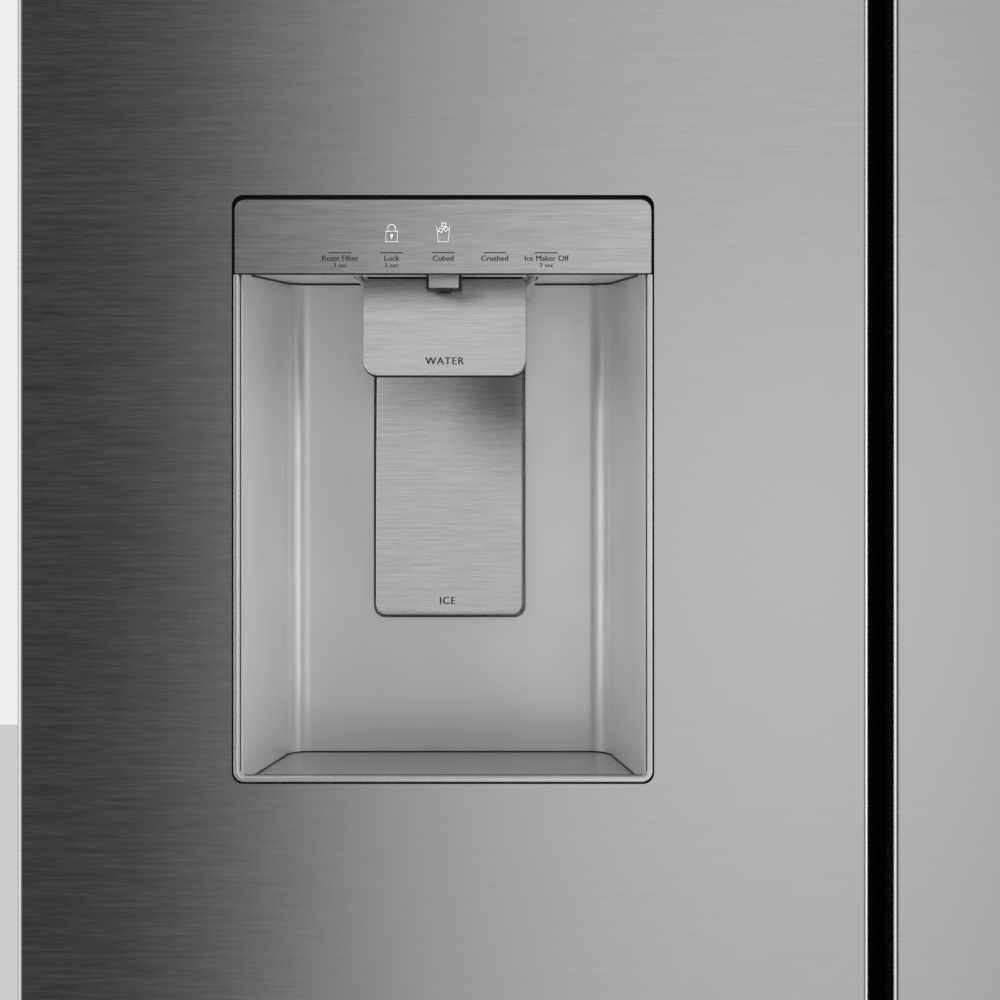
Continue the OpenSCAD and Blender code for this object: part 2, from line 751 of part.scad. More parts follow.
module door_bins(room, bins, bin_d) {
    u = [room[0] + dyke_in + dyke_w + 1.5, room[1] - dyke_in - dyke_w - 1.5];
    for (z = bins) open_box(u, [door_t + 1, door_t + bin_d], [z, z + bin_h], bin_wall);
}

freezer_room_u = [freezer_x[0] + x_side, freezer_x[1] + x_side];
fridge_room_u = [x_side - fridge_x[1], x_side - fridge_x[0]];

// ---------------------------------------------------------------- dispenser

module at_dispenser() { translate([disp_x, y_face, disp_z]) children(); }

// Plan of the glass space: tapering walls and round back corners, grown by e
function cavity_side(e) = concat(
    [[cavity_half + e, 0], [back_half + corner_r + e, cavity_d - corner_r]],
    [for (a = [15 : 15 : 90])
        [back_half + (corner_r + e) * cos(a), cavity_d - corner_r + (corner_r + e) * sin(a)]]);

function mirrored(points) = [for (i = [len(points) - 1 : -1 : 0]) [-points[i][0], points[i][1]]];

module cavity_plan(e) { polygon(concat(cavity_side(e), mirrored(cavity_side(e)))); }

module freezer_door_panel() {
    color(steel) difference() {
        freezer_side() door_skin(freezer_door_w);
        at_dispenser() translate([0, 0, -0.5]) plate_xz([-2, 8])
            round_rect(bezel_half + 0.4, disp_h + 0.9, 5.4);
    }
}

boss_half = 110;
boss_z = [disp_z - 16, disp_z + 372];
boss_v = door_t + 44;

module freezer_door_liner() {
    mid = disp_x + x_side;
    color(white_plastic) freezer_side() difference() {
        union() {
            door_inner(freezer_door_w, freezer_room_u, freezer_bin_z);
            block([mid - boss_half, mid + boss_half], [door_t - 1, boss_v], boss_z);
        }
        block([mid - boss_half + 3, mid + boss_half - 3], [back_v - 1, boss_v - 3],
            [boss_z[0] + 3, boss_z[1] - 3]);
        block([mid - chute_half - 0.4, mid + chute_half + 0.4], [boss_v - 4, boss_v + 1],
            [disp_z + 294.5, disp_z + 366.4]);
    }
}

module freezer_door_core() {
    mid = disp_x + x_side;
    color(foam_yellow) difference() {
        freezer_side() union() {
            door_core(freezer_door_w);
            block([mid - boss_half + 3.3, mid + boss_half - 3.3], [back_v - 0.4, boss_v - 3.3],
                [boss_z[0] + 3.3, boss_z[1] - 3.3]);
        }
        at_dispenser() {
            translate([0, 0, floor_z - wall - 0.3]) linear_extrude(258) cavity_plan(wall + 0.3);
            block([-106.3, 106.3], [0, housing_front + 2.3], [floor_z - wall - 0.3, 284.3]);
            block([-pocket_half - wall - 0.3, pocket_half + wall + 0.3], [cavity_d, pocket_v + wall + 0.3],
                [pocket_z[0] - wall - 0.3, pocket_z[1] + wall + 0.3]);
            block([-46, 46], [cavity_d - 2, ice_pivot[0] + 7], [ice_pivot[1] - 7, ice_pivot[1] + 7]);
            block([-51, 51], [7, 80], [240, 272]);
            block([-chute_half - 0.3, chute_half + 0.3], [chute_v[0] - 0.3, boss_v],
                [226, boss_z[1] - disp_z - 5]);
        }
    }
}

module freezer_door_caps() { color(black_plastic) freezer_side() door_caps(freezer_door_w); }

module freezer_gasket() { color(gasket_grey) freezer_side() door_gasket(freezer_door_w); }

module freezer_grip() { color(black_plastic) freezer_side() door_grip(freezer_door_w); }

module freezer_door_bins() {
    color(clear_plastic) freezer_side() door_bins(freezer_room_u, freezer_bin_z, freezer_bin_d);
}

sill_v = 7;
floor_z = -1.3;
pocket_half = paddle_w / 2 + 1.2;
pocket_z = [70.5, 229];
pocket_v = cavity_d + 15;

// Side section of the glass space, and of the shell around it
void_section = [[-1, 2.8], [sill_v, 2.8], [sill_v + 3, floor_z], [120, floor_z], [120, 250.3], [-1, 239.5]];
shell_section = [[housing_front, floor_z - wall], [120, floor_z - wall], [120, 252.3], [housing_front, 241.9]];

module dispenser_housing() {
    color(silver_plastic) at_dispenser() difference() {
        union() {
            intersection() {
                translate([0, 0, -20]) linear_extrude(300) cavity_plan(wall);
                plate_yz([-120, 120]) polygon(shell_section);
            }
            // flange behind the door skin
            difference() {
                block([-106, 106], [housing_front, housing_front + 2], [floor_z - wall, 284]);
                block([-cavity_half, cavity_half], [0, 20], [2.8, 241.9]);
            }
            // pocket that the ice paddle swings into
            block([-pocket_half - wall, pocket_half + wall], [cavity_d, pocket_v + wall],
                [pocket_z[0] - wall, pocket_z[1] + wall]);
            for (x = [-pocket_half - 5, pocket_half]) rod_x(6, [x, x + 5], ice_pivot[0], ice_pivot[1]);
            // ears of the water paddle
            for (x = [-50.5, 47])
                block([x, x + 3.5], [water_pivot[0] - 8, water_pivot[0] + 8], [242, water_pivot[1] + 7]);
        }
        intersection() {
            translate([0, 0, -20]) linear_extrude(300) cavity_plan(0);
            plate_yz([-120, 120]) polygon(void_section);
        }
        block([-46.5, 46.5], [sill_v, 80], [230, 260]);
        block([-pocket_half, pocket_half], [cavity_d - 1, pocket_v], pocket_z);
        rod_x(3 + pin_gap, [-60, 60], ice_pivot[0], ice_pivot[1]);
        rod_x(2.5 + pin_gap, [-60, 60], water_pivot[0], water_pivot[1]);
    }
}

module dispenser_bezel() {
    color(silver_plastic) at_dispenser() plate_xz([0.2, bezel_back]) difference() {
        round_rect(bezel_half, 260, 5);
        translate([0, 2.8]) round_rect(cavity_half, 260, 2.4);
        translate([-110, panel_z[0] - 0.6]) square([220, 60]);
    }
}

module control_panel() {
    color(steel) at_dispenser() {
        plate_xz([0, 3]) intersection() {
            round_rect(panel_half, panel_z[1], 4.7);
            translate([-110, panel_z[0]]) square([220, 60]);
        }
        block([-90, 90], [2.9, 5.3], [panel_z[0] + 4, panel_z[1] - 4]);
    }
}

// Half width of the chute mouth at height z: full above the ceiling, elliptical below it
function mouth_half(z) = z >= 247 ? chute_half : chute_half * sqrt(1 - pow((247 - z) / 21, 2));

module mouth_outline(e) {
    heights = [mouth_z - (e < 0 ? 1 : 0), 233.5, 235, 237, 239, 241, 243, 245, 247, 370];
    polygon(concat([for (z = heights) [mouth_half(z) + e, z]],
        [for (i = [len(heights) - 1 : -1 : 0]) [-mouth_half(heights[i]) - e, heights[i]]]));
}

// Side sections of the chute and of the duct inside it
chute_section = [
    [chute_v[0], mouth_z], [chute_v[1], mouth_z], [chute_v[1], chute_z[0]], [chute_v[2], chute_z[1]],
    [chute_v[3], chute_z[2]], [chute_v[3], chute_z[3]], [chute_v[2] - 20, chute_z[3]], [chute_v[0], 312]];
duct_section = [
    [chute_v[0] + 2.5, mouth_z - 2], [chute_v[1] - 2.5, mouth_z - 2], [chute_v[1] - 2.5, chute_z[0] + 1.2],
    [chute_v[2] - 1.4, chute_z[1] + 2.2], [chute_v[3] - 2.5, chute_z[2] + 2.2],
    [chute_v[3] - 2.5, chute_z[3] + 2], [chute_v[2] + 2.5, chute_z[3] + 2],
    [chute_v[2] + 2.5, chute_z[3] - 2.5], [chute_v[2] - 19, chute_z[3] - 2.5], [chute_v[0] + 2.5, 311]];

module ice_chute() {
    color(white_plastic) at_dispenser() difference() {
        intersection() {
            plate_yz([-chute_half, chute_half]) polygon(chute_section);
            plate_xz([0, 170]) mouth_outline(0);
        }
        intersection() {
            plate_yz([2.5 - chute_half, chute_half - 2.5]) polygon(duct_section);
            plate_xz([0, 170]) mouth_outline(-2.5);
        }
        rod_x(2 + pin_gap, [-60, 60], flap_pivot[0], flap_pivot[1]);
    }
}

flap_angle = 42;

module chute_flap() {
    half = chute_half - 3.6;
    color(black_plastic) at_dispenser() translate([0, flap_pivot[0], flap_pivot[1]]) {
        rotate([0, 90, 0]) translate([0, 0, -chute_half]) cylinder(r = 2, h = 2 * chute_half);
        rotate([flap_angle, 0, 0]) block([-half, half], [-1, 1], [-50, 0]);
    }
}

module water_nozzle() {
    color(steel) at_dispenser() difference() {
        union() {
            block([-7, 7], [8, 17.5], [mouth_z + 0.5, 251]);
            rod_z(4.2, 0, 12.8, [mouth_z - 2, mouth_z + 1]);
        }
        rod_z(2.6, 0, 12.8, [mouth_z - 3, 252]);
    }
}

// Paddle face with round lower corners, hanging from z_top to z_low
module paddle_face(z_low, z_top, v, r) {
    plate_xz(v) translate([0, z_low]) {
        translate([-paddle_w / 2, r]) square([paddle_w, z_top - z_low - r]);
        translate([r - paddle_w / 2, 0]) square([paddle_w - 2 * r, r]);
        for (x = [r - paddle_w / 2, paddle_w / 2 - r]) translate([x, r]) circle(r);
    }
}

module water_paddle() {
    color(steel) at_dispenser() {
        paddle_face(193.6, 256, [20, 22.5], 6.6);
        for (x = [-paddle_w / 2, paddle_w / 2 - 2]) block([x, x + 2], [21, 31], [252, water_pivot[1] + 4]);
        rod_x(2.5, [-50, 50], water_pivot[0], water_pivot[1]);
    }
}

module ice_paddle() {
    color(steel) at_dispenser() {
        paddle_face(72.5, 226, [cavity_d - 5, cavity_d - 2.5], 5.6);
        block([-30, 30], [cavity_d - 3, ice_pivot[0] + 3], [214, 224]);
        rod_x(3, [-44.5, 44.5], ice_pivot[0], ice_pivot[1]);
    }
}

// ---------------------------------------------------------------- fridge door

module fridge_door_panel() { color(steel) fridge_side() door_skin(fridge_door_w); }

module fridge_door_core() { color(foam_yellow) fridge_side() door_core(fridge_door_w); }

lid_u = [fridge_room_u[0] + dyke_in + dyke_w + 1.5, fridge_room_u[1] - dyke_in - dyke_w - 1.5];
lid_pivot = [door_t + 12, fridge_bin_z[5] + bin_h + 40];
lid_reach = fridge_bin_d - 12;

module fridge_door_liner() {
    color(white_plastic) fridge_side() difference() {
        door_inner(fridge_door_w, fridge_room_u, fridge_bin_z);
        rod_x(3 + pin_gap, [lid_u[0] - 7, lid_u[1] + 7], lid_pivot[0], lid_pivot[1]);
    }
}

module fridge_door_caps() { color(black_plastic) fridge_side() door_caps(fridge_door_w); }

module fridge_gasket() { color(gasket_grey) fridge_side() door_gasket(fridge_door_w); }

module fridge_grip() { color(black_plastic) fridge_side() door_grip(fridge_door_w); }

module fridge_door_bins() {
    color(clear_plastic) fridge_side() door_bins(fridge_room_u, fridge_bin_z, fridge_bin_d);
}

module dairy_lid() {
    v = lid_pivot[0];
    z = lid_pivot[1];
    color(clear_plastic) fridge_side() {
        rod_x(3, [lid_u[0] - 6, lid_u[1] + 6], v, z);
        block(lid_u, [v, v + lid_reach], [z + 1, z + 4]);
        block(lid_u, [v + lid_reach - 3, v + lid_reach], [z - 36, z + 2]);
    }
}

cabinet_shell();
insulation();
back_panel();
base_frame();
freezer_liner();
fridge_liner();
kick_grille();
machine_cover();
compressor();
condenser();
condenser_fan();
water_valve();
top_hinges();
bottom_hinges();
hinge_covers();
evaporator();
evaporator_cover();
evaporator_fan();
air_duct();
ice_maker();
feeler_arm();
ice_bucket();
auger();
auger_motor();
freezer_drawer_upper();
freezer_drawer_lower();
shelf_frames();
shelf_glass();
crisper_upper();
crisper_lower();
humidity_slider();
lamps();
water_filter();
rear_roller_left();
rear_roller_right();
levelling_foot_left();
levelling_foot_right();
freezer_door_panel();
freezer_door_core();
freezer_door_liner();
freezer_door_caps();
freezer_gasket();
freezer_grip();
dispenser_housing();
dispenser_bezel();
control_panel();
ice_chute();
chute_flap();
water_nozzle();
water_paddle();
ice_paddle();
freezer_door_bins();
fridge_door_panel();
fridge_door_core();
fridge_door_liner();
fridge_door_caps();
fridge_gasket();
fridge_grip();
fridge_door_bins();
dairy_lid();
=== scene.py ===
"""Looks of a side by side refrigerator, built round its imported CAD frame.

Lengths in the comments and in the dimension tables are millimetres; every object is in metres.
"""
import json
import math

import bmesh
import bpy
from mathutils import Matrix, Vector


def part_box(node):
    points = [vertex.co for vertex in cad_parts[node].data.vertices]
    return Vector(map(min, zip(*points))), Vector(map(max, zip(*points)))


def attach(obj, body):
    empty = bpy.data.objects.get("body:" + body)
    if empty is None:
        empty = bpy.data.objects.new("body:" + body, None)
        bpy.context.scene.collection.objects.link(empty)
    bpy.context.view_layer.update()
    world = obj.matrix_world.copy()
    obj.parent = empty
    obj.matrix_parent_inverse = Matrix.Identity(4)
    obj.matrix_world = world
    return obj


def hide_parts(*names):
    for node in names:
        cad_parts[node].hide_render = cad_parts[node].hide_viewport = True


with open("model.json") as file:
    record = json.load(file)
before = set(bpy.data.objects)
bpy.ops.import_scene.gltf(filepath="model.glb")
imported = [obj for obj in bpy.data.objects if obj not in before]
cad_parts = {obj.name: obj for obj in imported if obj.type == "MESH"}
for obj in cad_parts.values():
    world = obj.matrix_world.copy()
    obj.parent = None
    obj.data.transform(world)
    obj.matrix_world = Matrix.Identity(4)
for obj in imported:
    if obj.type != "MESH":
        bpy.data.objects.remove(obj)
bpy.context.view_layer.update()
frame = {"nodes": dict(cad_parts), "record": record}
MM = 0.001

# ---- places taken from the frame

FACE_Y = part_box("freezer_door_panel")[0].y
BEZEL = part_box("dispenser_bezel")
DISPENSER = Vector(((BEZEL[0].x + BEZEL[1].x) / 2, FACE_Y, BEZEL[0].z))


def at_dispenser(x, v, z):
    """A point in metres from x across, v behind the door face and z above the dispenser's lower edge."""
    return DISPENSER + Vector((x, v, z)) * MM


# ---- mesh helpers


def in_scene(item):
    """Puts an object into the scene."""
    bpy.context.scene.collection.objects.link(item)
    return item


def mesh_object(name, bm, smooth_angle=35):
    """A new object from a bmesh, shaded smooth except across edges sharper than smooth_angle degrees."""
    bmesh.ops.recalc_face_normals(bm, faces=bm.faces[:])
    limit = math.radians(smooth_angle)
    for face in bm.faces:
        face.smooth = True
    for edge in bm.edges:
        if len(edge.link_faces) != 2 or edge.calc_face_angle(0) > limit:
            edge.smooth = False
    mesh = bpy.data.meshes.new(name)
    bm.to_mesh(mesh)
    bm.free()
    return in_scene(bpy.data.objects.new(name, mesh))


def finish_piece(piece, body, material, replaces=()):
    """Gives a piece its material, its body and the CAD nodes that it stands for."""
    piece.data.materials.clear()
    piece.data.materials.append(material)
    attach(piece, body)
    if replaces:
        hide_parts(*replaces)
    flat = piece.modifiers.new("weighted_normals", "WEIGHTED_NORMAL")
    flat.keep_sharp = True
    flat.weight = 100


def new_piece(name, bm, body, material, replaces=(), smooth_angle=35):
    """A finished piece straight from a bmesh."""
    finish_piece(mesh_object(name, bm, smooth_angle), body, material, replaces)


def bevel(bm, edges, width, segments=3):
    """Rounds the given edges of a bmesh, width in millimetres."""
    bmesh.ops.bevel(bm, geom=edges, offset=width * MM, segments=segments, profile=0.5, affect="EDGES")


def add_block(bm, low, high, radius=0.6, segments=2):
    """A block with rounded edges between two corners in metres, radius in millimetres."""
    made = bmesh.ops.create_cube(bm, size=1.0)
    size = Vector(high) - Vector(low)
    centre = (Vector(high) + Vector(low)) / 2
    for vert in made["verts"]:
        vert.co = Vector(a * b for a, b in zip(vert.co, size)) + centre
    edges = {edge for vert in made["verts"] for edge in vert.link_edges}
    room = min(size) * 0.45 / MM
    bevel(bm, list(edges), min(radius, room), segments)


def facing(x, z, v):
    """Place for prisms seen from the front of the dispenser."""
    return at_dispenser(x, v, z)


def door_block(bm, low, high, radius=0.6, segments=2):
    """A block with rounded edges between two (x, v, z) corners at the dispenser."""
    add_block(bm, at_dispenser(*low), at_dispenser(*high), radius, segments)


def room_block(bm, low, high, radius=0.6, segments=2):
    """A block with rounded edges between two (x, y, z) corners of the whole refrigerator."""
    add_block(bm, lying(*low), lying(*high), radius, segments)


def join_rows(bm, pairs, closed=True):
    """Faces between pairs of rows of vertices; closed rows are rings."""
    for near, far in pairs:
        count = len(near)
        for i in range(count if closed else count - 1):
            j = (i + 1) % count
            bm.faces.new((near[i], near[j], far[j], far[i]))


def add_prism(bm, outline, place, depth, front_bevel=0.0, segments=3):
    """An outline of (a, b) points extruded from depth[0] to depth[1].

    place(a, b, d) gives each point in metres.
    """
    front = [bm.verts.new(place(a, b, depth[0])) for a, b in outline]
    back = [bm.verts.new(place(a, b, depth[1])) for a, b in outline]
    bm.faces.new(front)
    bm.faces.new(list(reversed(back)))
    for i, j in enumerate([*range(1, len(front)), 0]):
        bm.faces.new((front[i], back[i], back[j], front[j]))
    if front_bevel:
        rim = [bm.edges.get(pair) for pair in zip(front, front[1:] + front[:1])]
        bevel(bm, rim, front_bevel, segments)


def arc(cx, cy, radius, start, end, steps):
    """Points on an arc, angles in degrees."""
    angles = [math.radians(start + (end - start) * i / steps) for i in range(steps + 1)]
    return [(cx + radius * math.cos(a), cy + radius * math.sin(a)) for a in angles]


def rounded_outline(half, low, high, low_radius, high_radius, steps=8):
    """A rectangle from -half to half and low to high with its corner radii, anticlockwise."""
    return (
        arc(half - low_radius, low + low_radius, low_radius, -90, 0, steps)
        + arc(half - high_radius, high - high_radius, high_radius, 0, 90, steps)
        + arc(high_radius - half, high - high_radius, high_radius, 90, 180, steps)
        + arc(low_radius - half, low + low_radius, low_radius, 180, 270, steps)
    )


def add_lathe(bm, profile, centre, axis="Z", steps=32):
    """A turned shape: (radius, height) points in millimetres about an axis through centre in metres."""
    quarter = math.pi / 2
    turn = {"X": Matrix.Rotation(quarter, 3, "Y"), "Y": Matrix.Rotation(-quarter, 3, "X")}
    turn = turn.get(axis, Matrix.Identity(3))
    rings = []
    for radius, height in profile:
        ring = []
        for i in range(steps):
            a = 2 * math.pi * i / steps
            point = Vector((radius * math.cos(a), radius * math.sin(a), height)) * MM
            ring.append(bm.verts.new(Vector(centre) + turn @ point))
        rings.append(ring)
    join_rows(bm, zip(rings, rings[1:]))
    bm.faces.new(list(reversed(rings[0])))
    bm.faces.new(rings[-1])


def cut(piece, bm):
    """Takes the shape in a bmesh away from a piece."""
    bmesh.ops.recalc_face_normals(bm, faces=bm.faces[:])
    mesh = bpy.data.meshes.new("cutter")
    bm.to_mesh(mesh)
    bm.free()
    cutter = in_scene(bpy.data.objects.new("cutter", mesh))
    modifier = piece.modifiers.new("cut", "BOOLEAN")
    modifier.operation = "DIFFERENCE"
    modifier.solver = "EXACT"
    modifier.object = cutter
    bake_modifiers(piece)
    bpy.data.objects.remove(cutter)


def bake_modifiers(piece):
    """Replaces a piece's mesh by the result of its modifiers."""
    graph = bpy.context.evaluated_depsgraph_get()
    mesh = bpy.data.meshes.new_from_object(piece.evaluated_get(graph))
    piece.modifiers.clear()
    piece.data = mesh


def thicken(piece, thickness, side=-1):
    """Gives a surface a wall in millimetres, side -1 against its normals and 1 along them."""
    wall = piece.modifiers.new("wall", "SOLIDIFY")
    wall.thickness = thickness * MM
    wall.offset = side
    bake_modifiers(piece)


def rounded_rectangle(low, high, radius, steps=5):
    """Outline of a rectangle between two (a, b) corners in millimetres."""
    (a0, b0), (a1, b1) = low, high
    r = min(radius, (a1 - a0) * 0.49, (b1 - b0) * 0.49)
    return [((a0 + a1) / 2 + a, b) for a, b in rounded_outline((a1 - a0) / 2, b0, b1, r, r, steps)]


def lying(x, y, z):
    """Place for rings seen from above."""
    return Vector((x, y, z)) * MM


def standing(x, z, y):
    """Place for rings seen from the front."""
    return Vector((x, y, z)) * MM


def add_rings(bm, low, high, radius, profile, place, hollow=False, steps=5):
    """Rounded rectangles drawn in by e at depth d, for each (e, d) of a profile, joined to one surface.

    A hollow shape joins its last ring to its first, like a picture frame; any other has closed ends.
    """
    rings = []
    for e, d in profile:
        corners = (low[0] + e, low[1] + e), (high[0] - e, high[1] - e)
        outline = rounded_rectangle(*corners, max(radius - e, 0.3), steps)
        rings.append([bm.verts.new(place(a, b, d)) for a, b in outline])
    pairs = list(zip(rings, rings[1:]))
    if hollow:
        pairs.append((rings[-1], rings[0]))
    else:
        bm.faces.new(list(reversed(rings[0])))
        bm.faces.new(rings[-1])
    join_rows(bm, pairs)


def tub_profile(z0, z1, wall):
    """Section of a moulded tub, from its underside over the rim to its inside floor."""
    return [
        (6, z0), (2, z0 + 0.5), (0.5, z0 + 2), (0, z0 + 6), (0, z1 - 1.2), (0.4, z1 - 0.3), (1.1, z1),
        (wall - 0.9, z1), (wall - 0.2, z1 - 0.4), (wall, z1 - 1.4), (wall + 0.3, z0 + wall + 6),
        (wall + 1.6, z0 + wall + 1.8), (wall + 6, z0 + wall),
    ]


def box_mm(node):
    """Lowest and highest corner of a CAD node in millimetres."""
    return [tuple(v / MM for v in corner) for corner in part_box(node)]


def solids(node):
    """Box corners in millimetres of each separate solid of a CAD node, from the floor up."""
    mesh = frame["nodes"][node].data
    keys = [tuple(round(v / MM, 2) for v in vert.co) for vert in mesh.vertices]
    home = {key: key for key in keys}

    def root(key):
        while home[key] != key:
            key = home[key]
        return key

    for polygon in mesh.polygons:
        for other in polygon.vertices[1:]:
            home[root(keys[other])] = root(keys[polygon.vertices[0]])
    groups = {}
    for key in home:
        groups.setdefault(root(key), []).append(key)
    boxes = [(tuple(map(min, zip(*group))), tuple(map(max, zip(*group)))) for group in groups.values()]
    return sorted(boxes, key=lambda box: (box[0][2], box[0][0]))


# ---- materials


def new_node(tree, kind, **inputs):
    """A shader node of that kind with values set on its sockets, spaces in their names written as _."""
    node = tree.nodes.new("ShaderNode" + kind)
    for key, value in inputs.items():
        node.inputs[key.replace("_", " ")].default_value = value
    return node


def calculate(tree, operation, first, second):
    """Output of a maths node on two values, each a number or a socket."""
    node = new_node(tree, "Math")
    node.operation = operation
    for socket, value in zip(node.inputs, (first, second)):
        if isinstance(value, (int, float)):
            socket.default_value = value
        else:
            tree.links.new(value, socket)
    return node.outputs["Value"]


def shade(colour, factor):
    """A colour made lighter or darker."""
    return tuple(min(c * factor, 1.0) for c in colour)


class Shader:
    """A small builder for one procedural material."""

    def __init__(self, name, **settings):
        self.material = bpy.data.materials.new(name)
        self.material.use_nodes = True
        self.tree = self.material.node_tree
        self.bsdf = self.tree.nodes["Principled BSDF"]
        for key, value in settings.items():
            self.bsdf.inputs[key.replace("_", " ")].default_value = value
        self.coords = new_node(self.tree, "TexCoord").outputs["Object"]

    def link(self, output, target):
        self.tree.links.new(output, target)

    def noise(self, scale, detail=3.0):
        """Noise of that many features per metre on each axis."""
        if not hasattr(scale, "__len__"):
            scale = (scale, scale, scale)
        node = new_node(self.tree, "TexNoise", Scale=1.0, Detail=detail, Roughness=0.55)
        mapping = new_node(self.tree, "Mapping", Scale=scale)
        self.link(self.coords, mapping.inputs["Vector"])
        self.link(mapping.outputs["Vector"], node.inputs["Vector"])
        return node.outputs["Fac"]

    def cells(self, scale):
        """One random grey per cell, for spangle and flakes."""
        node = new_node(self.tree, "TexVoronoi", Scale=scale)
        self.link(self.coords, node.inputs["Vector"])
        grey = new_node(self.tree, "SeparateColor")
        self.link(node.outputs["Color"], grey.inputs["Color"])
        return grey.outputs["Red"]

    def blend(self, first, second, share):
        """Two values added in the shares 1 - share and share."""
        parts = (calculate(self.tree, "MULTIPLY", v, w) for v, w in ((first, 1 - share), (second, share)))
        return calculate(self.tree, "ADD", *parts)

    def two_colours(self, value, first, second, from_low=0.3, from_high=0.7):
        """Base colour that runs between two colours with a value."""
        ramp = new_node(self.tree, "ValToRGB")
        for element, place, colour in zip(ramp.color_ramp.elements, (from_low, from_high), (first, second)):
            element.position = place
            element.color = (*colour, 1)
        self.link(value, ramp.inputs["Fac"])
        self.link(ramp.outputs["Color"], self.bsdf.inputs["Base Color"])

    def rough(self, value, low, high):
        """Roughness that runs between two values."""
        node = new_node(self.tree, "MapRange", From_Min=0.3, From_Max=0.7, To_Min=low, To_Max=high)
        self.link(value, node.inputs["Value"])
        self.link(node.outputs["Result"], self.bsdf.inputs["Roughness"])

    def bump(self, height, strength, distance):
        """Relief from a height value, distance in millimetres."""
        node = new_node(self.tree, "Bump", Strength=strength, Distance=distance * MM)
        self.link(height, node.inputs["Height"])
        self.link(node.outputs["Normal"], self.bsdf.inputs["Normal"])


def brushed_steel(name, grey, contrast, roughness, metallic=1.0):
    """Stainless sheet with a horizontal grain of fine scratches and a few faint smears."""
    s = Shader(name, Metallic=metallic, Anisotropic=0.65, Anisotropic_Rotation=0.25)
    fine = s.noise((75, 75, 1500), detail=3)
    long = s.noise((26, 26, 520), detail=3)
    smear = s.noise((5, 5, 7), detail=2)
    grain = s.blend(fine, long, 0.45)
    low, high = grey * (1 - contrast), grey * (1 + contrast)
    dark, light = (low, low, low * 0.995), (high, high, high * 0.99)
    s.two_colours(s.blend(grain, smear, 0.05), dark, light, 0.36, 0.64)
    s.rough(s.blend(grain, smear, 0.15), roughness - 0.04, roughness + 0.04)
    s.bump(grain, 0.10, 0.05)
    return s.material


def metallic_paint(name, grey, metallic, roughness=0.25):
    """Silver moulding: fine metal flakes under a satin coat."""
    s = Shader(name, Metallic=metallic, Specular_IOR_Level=0.5)
    tone = s.blend(s.cells(5200), s.noise(18, detail=2), 0.94)
    s.two_colours(tone, (grey * 0.965,) * 3, (grey * 1.035,) * 3, 0.3, 0.75)
    s.rough(s.noise(60, detail=3), roughness - 0.02, roughness + 0.03)
    s.bump(s.noise(2600, detail=2), 0.04, 0.05)
    return s.material


def moulded(name, colour, roughness, grain=1800, relief=0.12, variation=0.06, gloss=0.07, metallic=0.0):
    """Moulded plastic with a fine texture, a little uneven in tone and gloss."""
    s = Shader(name, Metallic=metallic)
    s.two_colours(s.noise(9, detail=4), shade(colour, 1 - variation), shade(colour, 1 + variation))
    s.rough(s.noise(35, detail=5), roughness - gloss, roughness + gloss)
    s.bump(s.noise(grain, detail=2), relief, 0.1)
    return s.material


def enamel(name, colour):
    """Cabinet paint with an orange-peel surface."""
    s = Shader(name, Metallic=0.35)
    s.two_colours(s.noise(4, detail=5), shade(colour, 0.93), shade(colour, 1.07))
    s.rough(s.noise(22, detail=4), 0.36, 0.48)
    s.bump(s.noise(700, detail=3), 0.22, 0.12)
    return s.material


def galvanised(name, colour):
    """Zinc-plated sheet with its spangle."""
    s = Shader(name, Metallic=0.9)
    tone = s.blend(s.cells(140), s.noise(30), 0.4)
    s.two_colours(tone, shade(colour, 0.85), shade(colour, 1.1), 0.2, 0.8)
    s.rough(tone, 0.38, 0.52)
    s.bump(s.noise(500, detail=3), 0.08, 0.1)
    return s.material


def bright_metal(name, colour, roughness):
    """Drawn or turned metal with light scratches."""
    s = Shader(name, Metallic=1.0)
    scratch = s.noise((900, 900, 60), detail=4)
    s.two_colours(scratch, shade(colour, 0.93), shade(colour, 1.05))
    s.rough(scratch, roughness - 0.05, roughness + 0.07)
    s.bump(scratch, 0.05, 0.05)
    return s.material


def clear(name, tint, roughness, body, ior=1.49):
    """Clear moulding or glass: mostly see-through, body is the share of it that shows as a pale haze."""
    s = Shader(name, Alpha=body, IOR=ior, Specular_IOR_Level=0.8)
    haze = s.noise(14, detail=4)
    s.two_colours(haze, shade(tint, 0.95), tint)
    s.rough(haze, roughness, roughness + 0.05)
    s.bump(s.noise(120, detail=2), 0.02, 0.05)
    return s.material


def foam(name, colour):
    """Rigid foam with closed cells."""
    s = Shader(name, Roughness=0.9)
    s.two_colours(s.cells(900), shade(colour, 0.85), colour, 0.1, 0.9)
    s.bump(s.noise(1200, detail=3), 0.5, 0.4)
    return s.material


def lit(name, colour, strength):
    """A lamp lens or an indicator that glows a little unevenly."""
    s = Shader(name, Roughness=0.4, Emission_Strength=strength)
    s.two_colours(s.noise(200, detail=2), shade(colour, 0.94), colour)
    s.bsdf.inputs["Emission Color"].default_value = (*colour, 1)
    s.bump(s.noise(900), 0.1, 0.1)
    return s.material
